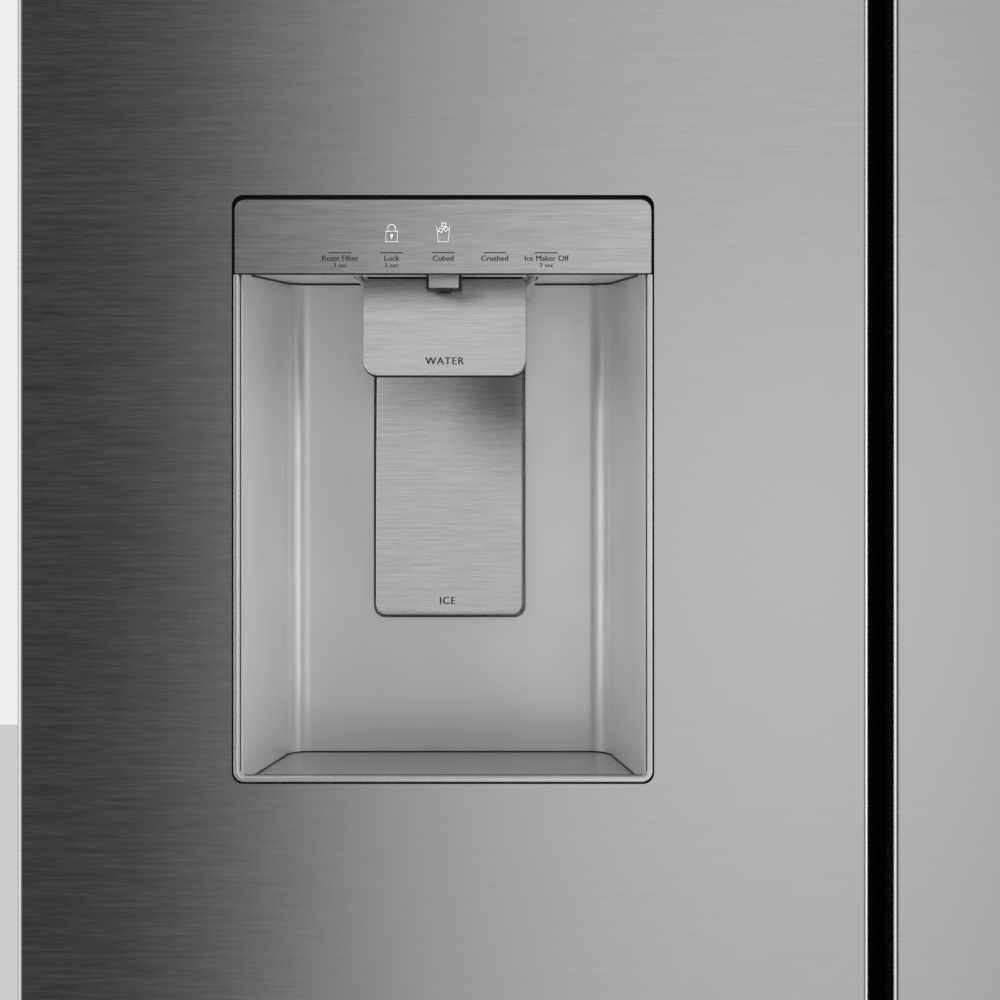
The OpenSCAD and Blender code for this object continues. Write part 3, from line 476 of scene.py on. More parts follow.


# the levers' brushed steel, far darker than the door steel: painted shade that deepens the soft box's shadows on
# them; its lower metallic share gives a matt finish
PADDLE_STEEL_SHADED = brushed_steel("paddle_steel_shaded", 0.34, 0.12, 0.28, 0.6)
DOOR_STEEL = brushed_steel("door_steel", 0.60, 0.045, 0.27)
PANEL_STEEL = brushed_steel("panel_steel", 0.64, 0.15, 0.30)
CAVITY = metallic_paint("cavity_silver", 0.90, 0.4, 0.31)
# the cavity silver again at a lower grey for the floor tray: painted shade, for the floor gets less light than
# the walls
CAVITY_FLOOR_SHADED = metallic_paint("cavity_floor_silver_shaded", 0.50, 0.4, 0.34)
TRIM = metallic_paint("trim_silver", 0.78, 0.75)
CABINET = enamel("cabinet_enamel", (0.20, 0.205, 0.21))
ZINC = galvanised("zinc_sheet", (0.60, 0.62, 0.63))
LINER = moulded("liner_white", (0.84, 0.85, 0.86), 0.30, 1400, 0.05, 0.015, gloss=0.02)
WHITE = moulded("white_moulding", (0.80, 0.80, 0.79), 0.42, variation=0.03)
BLACK = moulded("black_moulding", (0.018, 0.018, 0.019), 0.42, variation=0.15)
MACHINE = moulded("machine_black", (0.03, 0.03, 0.032), 0.32, 900, 0.15, 0.2, metallic=0.3)
RUBBER = moulded("gasket_grey", (0.33, 0.34, 0.35), 0.62, relief=0.2)
CLEAR = clear("clear_moulding", (0.80, 0.87, 0.90), 0.07, 0.30)
GLASS = clear("shelf_glass", (0.62, 0.80, 0.74), 0.03, 0.28, ior=1.52)
ALUMINIUM = bright_metal("fin_aluminium", (0.78, 0.79, 0.80), 0.35)
BRIGHT = bright_metal("drawn_steel", (0.68, 0.68, 0.67), 0.22)
FOAM = foam("rigid_foam", (0.83, 0.76, 0.50))
CHUTE = moulded("chute_moulding", (0.50, 0.50, 0.50), 0.4, variation=0.03)
INK = moulded("legend_ink", (0.03, 0.03, 0.03), 0.6, variation=0.2)
INK_PALE = moulded("legend_ink_pale", (0.66, 0.66, 0.66), 0.5, variation=0.05)
INDICATOR = lit("indicator_white", (1.0, 1.0, 1.0), 0.55)
LENS = lit("lamp_lens", (0.95, 0.95, 0.90), 3.0)

BY_SLOT = {
    "brushed_steel": (DOOR_STEEL, PADDLE_STEEL_SHADED, PANEL_STEEL), "cabinet_paint": (CABINET,),
    "zinc_steel": (ZINC,), "insulation_foam": (FOAM,), "liner_plastic": (LINER,),
    "white_plastic": (WHITE, CHUTE), "dispenser_plastic": (CAVITY, CAVITY_FLOOR_SHADED),
    "silver_trim": (TRIM, INK_PALE), "black_plastic": (BLACK, INK), "dark_machine": (MACHINE,),
    "clear_plastic": (CLEAR,), "shelf_glass": (GLASS,), "gasket_rubber": (RUBBER,),
    "aluminium": (ALUMINIUM,), "polished_steel": (BRIGHT,), "lamp_lens": (LENS, INDICATOR),
}

for part in frame["record"]["subparts"]:
    node = frame["nodes"][part["node"]]
    node.data.materials.clear()
    node.data.materials.append(BY_SLOT[part["material_slot"]][0])

# ---- dispenser

DOOR = "freezer_door"
CAVITY_FRONT, CAVITY_BACK = 96.1, 73.8
CORNER = 12.0
CAVITY_DEPTH = 87.5
FLOOR_Z = -1.3
LIP_V, LIP_Z = 7.0, 2.8
CEILING = (240.2, 248.4)
PANEL_LOW, PANEL_HIGH = 239.6, 274.1
PANEL_HALF = 97.9
SHELL = 1.8
PAN_LOW = -4.2
SLOPE = (CEILING[1] - CEILING[0]) / CAVITY_DEPTH
POCKET_HALF = 40.4
POCKET_Z = (70.5, 229.0)
PADDLE_HALF = 39.3
WATER_LOW, WATER_FRONT = 193.4, 19.8
ICE_LOW, ICE_FRONT = 72.4, 82.3


def cavity_profile(inset):
    """Plan of the glass space from its front left to its front right, pulled inwards by inset."""
    turn = arc(CAVITY_BACK, CAVITY_DEPTH - CORNER, CORNER - inset, 0, 90, 10)
    front_half = CAVITY_FRONT - inset
    run = turn[0][0] - front_half
    side = [(front_half + run * t, (CAVITY_DEPTH - CORNER) * t) for t in (0.02, 0.08, 0.25, 0.5, 0.75)]
    right = side + turn
    shares = (0.75, 0.55, 0.25, 0.0, -0.25, -0.55, -0.75)
    across = [(-CAVITY_BACK * t, CAVITY_DEPTH - inset) for t in shares]
    return [(-x, y) for x, y in right] + across + list(reversed(right))


def cavity():
    """The silver shell of the glass space: tapering side walls with rounded rear corners."""
    bm = bmesh.new()
    rows = []
    for z in (PAN_LOW, -1.0, 12, 40, 75, 110, 150, 190, 225, 256):
        rows.append([bm.verts.new(at_dispenser(x, max(v, LIP_V - 1.2), z)) for x, v in cavity_profile(0)])
    join_rows(bm, zip(rows, rows[1:]), closed=False)
    piece = mesh_object("dispenser_cavity", bm, 30)
    thicken(piece, SHELL)
    opening = bmesh.new()
    outline = rounded_outline(POCKET_HALF, *POCKET_Z, 6, 3)
    add_prism(opening, outline, facing, (CAVITY_DEPTH - 3, CAVITY_DEPTH + 6))
    cut(piece, opening)
    finish_piece(piece, DOOR, CAVITY, ["dispenser_housing"])


def cavity_floor():
    """The flat tray of the glass space, with a fine joint round it, over a dark pan; its silver is painted
    darker than the walls' as shade.
    """
    bm = bmesh.new()
    outline = [(x, max(v, LIP_V + 0.5)) for x, v in cavity_profile(0.45)]
    add_prism(bm, outline, at_dispenser, (FLOOR_Z, FLOOR_Z - 1.6), 0.35, 2)
    new_piece("dispenser_floor", bm, DOOR, CAVITY_FLOOR_SHADED)
    pan = bmesh.new()
    outline = [(x, max(v, LIP_V - 0.5)) for x, v in cavity_profile(-0.8)]
    add_prism(pan, outline, at_dispenser, (-3.2, -4.6))
    new_piece("dispenser_pan", pan, DOOR, BLACK)


def seams():
    """The dark joints where the walls meet the floor tray and the ceiling."""
    bm = bmesh.new()
    line = [(x, v) for x, v in cavity_profile(0.16) if v >= LIP_V]
    for low, high, tilt in ((-1.45, -0.65, 0), (CEILING[0] - 1.0, CEILING[0] + 0.3, SLOPE)):
        rows = [[bm.verts.new(at_dispenser(x, v, z + tilt * v)) for x, v in line] for z in (low, high)]
        join_rows(bm, [rows], closed=False)
    piece = mesh_object("cavity_seams", bm, 60)
    thicken(piece, 0.3)
    finish_piece(piece, DOOR, BLACK)


def pocket():
    """The box behind the cavity wall that the ice paddle swings into."""
    bm = bmesh.new()
    back = CAVITY_DEPTH + 15
    wall = 1.6
    half = POCKET_HALF + wall
    low, high = POCKET_Z[0] - wall, POCKET_Z[1] + wall
    front = CAVITY_DEPTH + SHELL
    door_block(bm, (-half, back, low), (half, back + wall, high), 0.4)
    for x in (-half, POCKET_HALF):
        door_block(bm, (x, front, low), (x + wall, back + 0.2, high), 0.4)
    for z in (low, POCKET_Z[1]):
        door_block(bm, (-half, front, z), (half, back + 0.2, z + wall), 0.4)
    new_piece("paddle_pocket", bm, DOOR, CAVITY)


def ceiling():
    """The sloping roof of the glass space, open where the paddle and the chute come through."""
    bm = bmesh.new()
    outline = cavity_profile(0.55)
    outline[0] = (-CAVITY_FRONT + 1, 4.0)
    outline[-1] = (CAVITY_FRONT - 1, 4.0)
    add_prism(bm, outline, lambda x, v, z: at_dispenser(x, v, CEILING[0] + SLOPE * v + z), (0, 1.8), 0.3, 2)
    backing = bmesh.new()
    add_prism(backing, cavity_profile(-0.9), at_dispenser, (252, 254))
    piece = mesh_object("dispenser_ceiling", bm)
    opening = bmesh.new()
    right = [(40.6, 9), (40.6, 32), (46.2, 34), (46.2, 62), (34, 80)]
    mouth = [(-40.6, 9)] + right + [(-x, v) for x, v in reversed(right[1:])]
    add_prism(opening, mouth, at_dispenser, (235, 258))
    spare = opening.copy()
    cut(piece, opening)
    lid = mesh_object("ceiling_back", backing)
    cut(lid, spare)
    finish_piece(lid, DOOR, BLACK)
    finish_piece(piece, DOOR, CAVITY)


def sill():
    """The raised front edge of the floor, behind the bezel."""
    bm = bmesh.new()
    front, back, foot, roll = 5.5, LIP_V + 3.2, -2.6, 0.9
    section = [(front, foot), (front, LIP_Z)] + arc(LIP_V - roll, LIP_Z - roll, roll, 90, 0, 4)
    section += [(back, FLOOR_Z + 0.05), (back, foot)]
    half = CAVITY_FRONT - 1.5
    add_prism(bm, section, lambda v, z, x: at_dispenser(x, v, z), (-half, half))
    new_piece("dispenser_sill", bm, DOOR, BLACK)


def bezel():
    """The bright frame round the sides and foot of the dispenser, one moulded strip with soft edges."""
    bm = bmesh.new()
    half_width, depth, soft = 1.15, (0.15, 5.3), 0.55
    middle, foot, turn = 97.45, 1.45, 4.0
    path = [(-middle, PANEL_LOW - 0.6), (-middle, 60)] + arc(turn - middle, foot + turn, turn, 180, 270, 10)
    path += arc(middle - turn, foot + turn, turn, 270, 360, 10) + [(middle, 60), (middle, PANEL_LOW - 0.6)]
    edge, level = half_width - soft, depth[0] + soft
    curve = arc(-edge, -level, soft, 150, 90, 2) + arc(edge, -level, soft, 90, 30, 2)
    section = [(-half_width, depth[1]), (-half_width, level)] + [(x, -v) for x, v in curve]
    section += [(half_width, level), (half_width, depth[1])]
    rings = []
    for i, (x, z) in enumerate(path):
        ax, az = path[max(i - 1, 0)]
        bx, bz = path[min(i + 1, len(path) - 1)]
        length = math.hypot(bx - ax, bz - az)
        nx, nz = (bz - az) / length, -(bx - ax) / length
        rings.append([bm.verts.new(at_dispenser(x + nx * n, v, z + nz * n)) for n, v in section])
    join_rows(bm, zip(rings, rings[1:]))
    bm.faces.new(rings[0])
    bm.faces.new(list(reversed(rings[-1])))
    new_piece("bezel_strip", bm, DOOR, TRIM, ["dispenser_bezel"], 50)


def control_panel():
    """The brushed control plate: flat, with rounded upper corners and a fine bright edge."""
    bm = bmesh.new()
    outline = rounded_outline(PANEL_HALF, PANEL_LOW, PANEL_HIGH, 0.4, 4.7)
    add_prism(bm, outline, facing, (0, 3), 0.3, 3)
    door_block(bm, (-88, 2.9, PANEL_LOW + 4), (88, 5.2, PANEL_HIGH - 4), 0.5)
    new_piece("control_plate", bm, DOOR, PANEL_STEEL, ["control_panel"])


def opening_shadow():
    """A black tray behind the panel and the bezel, seen in the gaps round them: painted shade that keeps those
    gaps dark.
    """
    bm = bmesh.new()
    outline = rounded_outline(105.6, -2.8, 283.4, 3, 3)
    add_prism(bm, outline, facing, (5.6, 7.2), 0.3, 2)
    piece = mesh_object("dispenser_shade_tray", bm)
    window = bmesh.new()
    add_prism(window, rounded_outline(CAVITY_FRONT + 0.3, LIP_Z - 3.3, PANEL_LOW + 2, 3, 1), facing, (3, 9))
    cut(piece, window)
    finish_piece(piece, DOOR, BLACK)
    # a thin black strip under the control plate: painted shade for the dark line along its lower edge
    shade_strip = bmesh.new()
    low, high = PANEL_LOW - 0.5, PANEL_LOW - 0.06
    door_block(shade_strip, (-CAVITY_FRONT, 0.8, low), (CAVITY_FRONT, 2.4, high), 0.12)
    new_piece("control_plate_shade_strip", shade_strip, DOOR, BLACK)


def water_paddle():
    """The water lever: a pressed plate with rounded lower corners and rolled edges on a dark carrier."""
    bm = bmesh.new()
    outline = rounded_outline(PADDLE_HALF, WATER_LOW, 240.0, 6.6, 0.8)
    add_prism(bm, outline, facing, (WATER_FRONT, WATER_FRONT + 3.2), 1.0, 4)
    new_piece("water_paddle_plate", bm, "water_paddle", PADDLE_STEEL_SHADED, ["water_paddle"])
    # the carrier's head is behind the control plate, its rim shows round the lever, its arms hold the pivot
    back = bmesh.new()
    add_prism(back, rounded_outline(PADDLE_HALF - 1.6, WATER_LOW + 2.4, 257, 6, 1), facing, (22.6, 25))
    add_prism(back, rounded_outline(PADDLE_HALF + 0.25, WATER_LOW - 0.7, 236, 6.9, 1), facing, (22.9, 24.2))
    for side in (-1, 1):
        x = side * (PADDLE_HALF - 2.8)
        door_block(back, (x - 1, 24.5, 246), (x + 1, 29.8, 266), 0.6)
    add_lathe(back, [(2.1, -50), (2.5, -49.6), (2.5, 49.6), (2.1, 50)], at_dispenser(0, 28, 262), "X", 24)
    new_piece("water_paddle_carrier", back, "water_paddle", BLACK)


def paddle_hood():
    """The light strip between the control plate and the water paddle."""
    bm = bmesh.new()
    half = PADDLE_HALF + 0.3
    door_block(bm, (-half, 17.6, 240.9), (half, 19.3, 246.5), 0.5, 3)
    new_piece("paddle_hood", bm, DOOR, CAVITY)


def ice_paddle():
    """The ice lever: a plate that is flat below and leans back towards its pivot above."""
    bm = bmesh.new()
    half, thickness, corner, roll = 38.9, 3.0, 5.6, 1.0
    straight, top, lean = 110, 226, 10
    levels = [ICE_LOW + corner * (1 - math.cos(math.radians(a))) for a in range(0, 91, 15)]
    levels += [88, 96] + [straight + (top - straight) * i / 10 for i in range(11)]
    rings = []
    for z in levels:
        rise = min((z - ICE_LOW) / corner, 1)
        width = half - corner + corner * math.sqrt(max(1 - (1 - rise) ** 2, 0))
        back = ICE_FRONT + lean * max((z - straight) / (top - straight), 0) ** 2
        section = [(-width, thickness), (-width, roll)]
        section += arc(roll - width, roll, roll, 180, 270, 4)[1:] + arc(width - roll, roll, roll, 270, 360, 4)
        section.append((width, thickness))
        lower = max(1.2 - (z - ICE_LOW), 0) * 0.5
        rings.append([bm.verts.new(at_dispenser(x, back + max(v, lower), z)) for x, v in section])
    join_rows(bm, zip(rings, rings[1:]))
    bm.faces.new(rings[0])
    bm.faces.new(list(reversed(rings[-1])))
    new_piece("ice_paddle_plate", bm, "ice_paddle", PADDLE_STEEL_SHADED, ["ice_paddle"], 50)
    carrier = bmesh.new()
    door_block(carrier, (-30, 95, 208), (30, 99, 222), 1.0)
    for x in (-24, 0, 24):
        door_block(carrier, (x - 0.8, 85.2, 84), (x + 0.8, 89.5, 128), 0.3)
    add_lathe(carrier, [(2.6, -44.4), (3.0, -44), (3.0, 44), (2.6, 44.4)], at_dispenser(0, 93, 219), "X", 24)
    new_piece("ice_paddle_carrier", carrier, "ice_paddle", BLACK)


def nozzle():
    """The water outlet: a small satin block in a dark surround, with a short black spout under it."""
    bm = bmesh.new()
    door_block(bm, (-7.1, 8, 233.9), (7.1, 17.4, 251), 0.5, 3)
    new_piece("water_outlet", bm, DOOR, PANEL_STEEL, ["water_nozzle"])
    spout = bmesh.new()
    door_block(spout, (-8.4, 9.2, 233.4), (8.4, 17.0, 251), 0.5)
    lip = [(3.2, 3.0), (3.0, 0.4), (3.5, 0), (4.2, 0.5), (4.2, 3.2)]
    add_lathe(spout, lip, at_dispenser(0, 12.8, 232.4), "Z", 28)
    new_piece("water_spout", spout, DOOR, BLACK)


def chute_mouth():
    """The collar round the ice outlet: a shell with a rolled rim, its lower outline half an ellipse."""
    bm = bmesh.new()
    half, drop, level, top, wall = 45.0, 21.0, 247.5, 262, 2.4
    curve = [(half * x, level + drop * z) for x, z in arc(0, 0, 1, 180, 360, 20)]
    outline = [(-half, top)] + curve + [(half, top)]
    inner = []
    for x, z in outline:
        inner.append((x - math.copysign(wall, x) if abs(x) > wall else x, z + wall if z < top else top))
    rows = [[bm.verts.new(at_dispenser(x, 78, z)) for x, z in outline]]
    for v, scale in ((34.0, 1.0), (33.2, 0.985), (33.2, 0.955), (34.2, 0.935)):
        rolled = [(x * scale, level + (z - level) * (scale if z < level else 1)) for x, z in outline]
        rows.append([bm.verts.new(at_dispenser(x, v, z)) for x, z in rolled])
    rows.append([bm.verts.new(at_dispenser(x, 77, z)) for x, z in inner])
    join_rows(bm, zip(rows, rows[1:]), closed=False)
    new_piece("chute_collar", bm, DOOR, CHUTE, smooth_angle=50)


# ---- legends

INK_HEIGHT = 0.03
# sideways shift that makes printed words bolder, as a share of their height
BOLD = 0.038


def lettering(name, words, material, body):
    """Generic words as thin printed shapes, each given as (text, x, z, cap height, front, spacing)."""
    joined = bmesh.new()
    upright = Matrix.Rotation(math.pi / 2, 4, "X")
    for text, x, z, cap, front, spacing in words:
        curve = bpy.data.curves.new("text", "FONT")
        curve.body = text
        curve.align_x = curve.align_y = "CENTER"
        curve.size = cap / 0.62 * MM
        curve.space_character = spacing
        curve.extrude = INK_HEIGHT / 2 * MM
        curve.resolution_u = 4
        holder = in_scene(bpy.data.objects.new("text", curve))
        bpy.context.view_layer.update()
        mesh = bpy.data.meshes.new_from_object(holder)
        place = at_dispenser(x - cap * BOLD, front - INK_HEIGHT / 2, z)
        mesh.transform(Matrix.Translation(place) @ upright)
        joined.from_mesh(mesh)
        # a second print beside the first, a hair lower, makes the strokes bolder
        mesh.transform(Matrix.Translation(Vector((2 * cap * BOLD, INK_HEIGHT / 5, 0)) * MM))
        joined.from_mesh(mesh)
        bpy.data.objects.remove(holder)
    new_piece(name, joined, body, material)


def stroke(bm, points, width, front, closed=False):
    """A printed line of that width through (x, z) points."""
    overrun = 0.35
    ends = points[1:] + points[:1] if closed else points[1:]
    for (ax, az), (bx, bz) in zip(points, ends):
        length = math.hypot(bx - ax, bz - az)
        dx, dz = (bx - ax) / length * width, (bz - az) / length * width
        nx, nz, ex, ez = -dz / 2, dx / 2, dx * overrun, dz * overrun
        quad = [(ax - ex + nx, az - ez + nz), (ax - ex - nx, az - ez - nz)]
        quad += [(bx + ex - nx, bz + ez - nz), (bx + ex + nx, bz + ez + nz)]
        add_prism(bm, quad, facing, (front - INK_HEIGHT, front))


# the keys of the panel, with True for those that are held for three seconds
KEYS = (
    ("Reset Filter", True), ("Lock", True), ("Cubed", False), ("Crushed", False), ("Ice Maker Off", True),
)
KEY_FIRST, KEY_PITCH = -48.4, 24.25


def legends():
    """The words on the control plate and on the two levers, and the bar over each key's word."""
    words, bars = [], bmesh.new()
    for i, (text, held) in enumerate(KEYS):
        x = KEY_FIRST + i * KEY_PITCH
        words.append((text, x, 246.5, 2.3, 0, 1.0))
        if held:
            words.append(("3 sec", x, 243.3, 1.85, 0, 1.05))
        stroke(bars, [(x - 5.2, 249.2), (x + 5.2, 249.2)], 0.5, 0)
    lettering("panel_lettering", words, INK, DOOR)
    lettering("water_lettering", [("WATER", 0, 200.2, 3.1, WATER_FRONT, 1.15)], INK, "water_paddle")
    lettering("ice_lettering", [("ICE", -1.0, 79.6, 3.3, ICE_FRONT, 1.15)], INK, "ice_paddle")
    new_piece("key_bars", bars, DOOR, INK)


def icons():
    """Lit symbols over the keys: a padlock and a glass of cubes; crushed ice is unlit."""
    bm = bmesh.new()
    line = 0.2
    x, z = KEY_FIRST + KEY_PITCH, 254.4
    stroke(bm, [(x - 2.7, z), (x + 2.7, z), (x + 2.7, z + 4.9), (x - 2.7, z + 4.9)], line, 0, True)
    stroke(bm, [(x - 1.75, z + 4.9)] + arc(x, z + 6.4, 1.75, 180, 0, 8) + [(x + 1.75, z + 4.9)], line, 0)
    stroke(bm, arc(x, z + 2.9, 0.3, 0, 315, 7), 0.4, 0, True)
    stroke(bm, [(x, z + 2.6), (x, z + 1.5)], 0.4, 0)
    x += KEY_PITCH
    stroke(bm, [(x - 3.1, z + 7.2), (x - 2.3, z), (x + 2.3, z), (x + 3.1, z + 7.2)], line, 0)
    for cx, cz, tilt in ((-1.2, 5.4, 20), (1.3, 6.0, -15), (0.2, 8.0, 40)):
        stroke(bm, arc(x + cx, z + cz, 1.15, tilt, tilt + 270, 3), 0.24, 0, True)
    new_piece("lit_icons", bm, DOOR, INDICATOR)
    faint = bmesh.new()
    x += KEY_PITCH
    grains = ((-1.6, 4.4, 0.8), (0.7, 5.4, 0.9), (2.0, 3.4, 0.7), (-0.3, 2.6, 0.8), (0.0, 7.4, 0.6))
    for cx, cz, size in grains:
        stroke(faint, arc(x + cx, z + cz, size, 30, 300, 3), 0.3, 0, True)
    new_piece("unlit_icon", faint, DOOR, INK_PALE)


for build in (cavity, cavity_floor, seams, pocket, ceiling, sill, bezel, control_panel, opening_shadow,
              water_paddle, paddle_hood, ice_paddle, nozzle, chute_mouth, legends, icons):
    build()

# ---- rooms

# where the rear wall steps forward over the machine bay
STEP_Y, STEP_Z = (40, 140), 330
LINER_WALL = 2
ROOM_CORNER = 14


def room_liner(side, drawer):
    """A moulded room: rounded corners, a step over the machine bay, shelf rails and a front flange."""
    (x0, y0, z0), (x1, y1, z1) = box_mm(side + "_liner")
    x0, z0 = (v + LINER_WALL for v in (x0, z0))
    x1, y1, z1 = (v - LINER_WALL for v in (x1, y1, z1))
    bm = bmesh.new()
    section = [(y0, z0), (STEP_Y[0], z0), (STEP_Y[1], STEP_Z), (y1, STEP_Z), (y1, z1), (y0, z1)]
    add_prism(bm, section, lambda y, z, x: lying(x, y, z), (x0, x1))
    front = y0 * MM + 1e-6
    door_side = [f for f in bm.faces if all(v.co.y < front for v in f.verts)]
    bmesh.ops.delete(bm, geom=door_side, context="FACES_ONLY")
    inner = [edge for edge in bm.edges if len(edge.link_faces) == 2]
    bevel(bm, inner, ROOM_CORNER, 6)
    room = mesh_object(side + "_room", bm, 40)
    thicken(room, LINER_WALL - 0.3, 1)
    finish_piece(room, "cabinet", LINER, [side + "_liner"])
    flange = bmesh.new()
    profile = [(0, y0 + 2), (-0.3, y0 - 0.1), (-1.0, y0 - 0.4)]
    profile += [(-13, y0 - 0.4), (-13.7, y0 - 0.1), (-13.9, y0 + 0.5)]
    add_rings(flange, (x0, z0), (x1, z1), ROOM_CORNER, profile, standing, hollow=True, steps=8)
    new_piece(side + "_flange", flange, "cabinet", LINER, smooth_angle=50)
    rails = bmesh.new()
    tops = [(low, high) for low, high in solids("shelf_frames") if x0 < low[0] < x1] + [box_mm(drawer)]
    start, end = tops[0][0][1] + 8, tops[0][1][1] - 2
    for low, _ in tops:
        for left, right in ((x0 - 0.3, x0 + 12), (x1 - 12, x1 + 0.3)):
            room_block(rails, (left, start, low[2] - 10.3), (right, end, low[2] - 0.4), 3.2, 4)
    new_piece(side + "_rails", rails, "cabinet", LINER)


def filter_socket():
    """The block in the roof of the fridge room that the water filter turns in."""
    (x0, _, z0), (x1, y1, z1) = box_mm("water_filter")
    x, z = (x0 + x1) / 2, (z0 + z1) / 2
    front, half, roof = y1 - 26, 31, 1693.6
    bm = bmesh.new()
    room_block(bm, (x - half, front, z - half), (x + half, y1 + 16, roof), 5, 4)
    piece = mesh_object("filter_socket", bm)
    bore = bmesh.new()
    add_lathe(bore, [(12.3, -20), (12.3, 27)], lying(x, front, z), "Y", 40)
    cut(piece, bore)
    finish_piece(piece, "cabinet", WHITE)


def shelves():
    """Silver shelf frames with a rounded rail all round the glass."""
    bm = bmesh.new()
    for (x0, y0, z0), (x1, y1, z1) in solids("shelf_frames"):
        profile = [(0.8, z0), (0, z0 + 0.8), (0, z1 - 1.6), (0.5, z1 - 0.5), (1.6, z1), (8, z1), (8.8, z1 - 0.4),
                   (9, z1 - 1), (9, z0 + 6.9), (13.6, z0 + 6.9), (14, z0 + 6.4), (14, z0 + 0.6), (13.4, z0)]
        add_rings(bm, (x0, y0), (x1, y1), 9.5, profile, lying, hollow=True)
        # front rail with a drip edge
        room_block(bm, (x0 + 12, y0 - 0.1, z0 - 3.2), (x1 - 12, y0 + 5, z1 - 0.6), 1.8, 4)
    new_piece("shelf_rails", bm, "cabinet", TRIM, ["shelf_frames"], 40)


def lamp_covers():
    """Ribbed lenses over the lamps in the roofs of the rooms."""
    bm = bmesh.new()
    rib_pitch = 9
    for (x0, y0, z0), (x1, y1, z1) in solids("lamps"):
        profile = [(0, z1), (0, z0 + 4), (0.8, z0 + 1.8), (2.6, z0 + 0.4), (4.5, z0)]
        add_rings(bm, (x0, y0), (x1, y1), 8, profile, lying)
        for i in range(1, int((x1 - x0) / rib_pitch)):
            x = x0 + i * rib_pitch
            room_block(bm, (x - 0.6, y0 + 6, z0 - 0.5), (x + 0.6, y1 - 6, z0 + 0.5), 0.3)
    new_piece("lamp_covers", bm, "cabinet", LENS, ["lamps"], 40)


def pull_out(node):
    """A clear drawer: a tapered tub, a rounded front plate with its grip and a silver top band."""
    (x0, y0, z0), (x1, y1, z1) = box_mm(node)
    tub = bmesh.new()
    add_rings(tub, (x0, y0 + 14.2), (x1, y1), 16, tub_profile(z0, z1 - 4, 3), lying)
    for fraction in (0.25, 0.5, 0.75):
        x = x0 + (x1 - x0) * fraction
        room_block(tub, (x - 1, y0 + 22, z0 + 3), (x + 1, y1 - 12, z0 + 4.2), 0.5)
    plate = [(1.4, y0 + 8.2), (0.4, y0 + 8.6), (0, y0 + 9.6), (0, y0 + 13.4), (0.6, y0 + 14.2)]
    add_rings(tub, (x0, z0 + 4), (x1, z1), 7, plate, standing, steps=6)
    new_piece(node + "_tub", tub, node, CLEAR, [node], 40)
    band = bmesh.new()
    room_block(band, (x0 + 4, y0 + 7.4, z1 - 22), (x1 - 4, y0 + 9, z1 - 5), 0.7, 3)
    grip = [(8, -23), (2.2, -24.5), (0.4, -27), (0.2, -30), (2, -30), (2.6, -27.6), (8, -26)]
    add_prism(band, grip, lambda y, z, x: lying(x, y0 + y, z1 + z), (x0 + 42, x1 - 42), 0.3)
    new_piece(node + "_band", band, node, TRIM, smooth_angle=40)


def door_bins(side):
    """Clear door bins with a silver rail along the rim and ribs across the floor."""
    bins, rails = bmesh.new(), bmesh.new()
    for (x0, y0, z0), (x1, y1, z1) in solids(side + "_door_bins"):
        add_rings(bins, (x0, y0), (x1, y1), 14, tub_profile(z0, z1, 3), lying)
        room_block(rails, (x0 + 12, y1 - 0.2, z1 - 17), (x1 - 12, y1 + 1.3, z1 - 3), 0.7, 3)
        for i in range(1, 6):
            x = x0 + (x1 - x0) * i / 6
            room_block(rails, (x - 0.8, y0 + 12, z0 + 2.8), (x + 0.8, y1 - 12, z0 + 4.4), 0.5)
    new_piece(side + "_bins", bins, side + "_door", CLEAR, [side + "_door_bins"], 40)
    new_piece(side + "_bin_rails", rails, side + "_door", TRIM)


def gasket(side):
    """A door seal: a soft bellows round the door, with a magnet strip at its front."""
    (x0, y0, z0), (x1, y1, z1) = box_mm(side + "_gasket")
    profile = [(0, y0), (0, y0 + 2), (1.8, y0 + 3.4), (1.8, y0 + 4.4), (0.3, y0 + 5.8), (0, y1 - 1.6),
               (0.5, y1 - 0.4), (1.6, y1), (6.4, y1), (7, y1 - 0.5), (7.6, y1), (12.4, y1), (13.5, y1 - 0.4),
               (14, y1 - 1.6), (13.7, y0 + 5.8), (12.2, y0 + 4.4), (12.2, y0 + 3.4), (14, y0 + 2), (14, y0)]
    bm = bmesh.new()
    add_rings(bm, (x0, z0), (x1, z1), 5, profile, standing, hollow=True, steps=4)
    new_piece(side + "_seal", bm, side + "_door", RUBBER, [side + "_gasket"], 60)


# ---- outside of the cabinet


def add_screw(bm, place, axis, radius=3.6):
    """A pan-head screw whose head stands up along the axis."""
    head = [(radius, 0), (radius, 0.5), (radius * 0.86, 1.1), (radius * 0.5, 1.5), (radius * 0.2, 1.2)]
    add_lathe(bm, head, place, axis, 20)


def hinge_caps():
    """Moulded covers over the top hinges: shells with a soft crown and a screw in a dimple."""
    bm, screws = bmesh.new(), bmesh.new()
    crown = 9
    for (x0, y0, z0), (x1, y1, z1) in solids("hinge_covers"):
        foot = z0 + 1.6
        outside = [(crown - dx, z1 - crown + dz) for dx, dz in arc(0, 0, crown, 0, 80, 6)]
        profile = [(14, z1 - 3.2), (5, z1 - 5), (3, z1 - 9), (3, foot), (0, foot)] + outside
        add_rings(bm, (x0, y0), (x1, y1), 14, profile, lying, steps=7)
        middle = (x0 + x1) / 2
        room_block(bm, (middle - 18, y0 + 16, z1 - 0.6), (middle + 18, y0 + 17.4, z1 - 0.02), 0.3)
        add_screw(screws, lying(middle, y1 - 22, z1 - 1.5), "Z")
    new_piece("hinge_caps", bm, "cabinet", BLACK, ["hinge_covers"], 30)
    new_piece("hinge_cap_screws", screws, "cabinet", ZINC, smooth_angle=40)


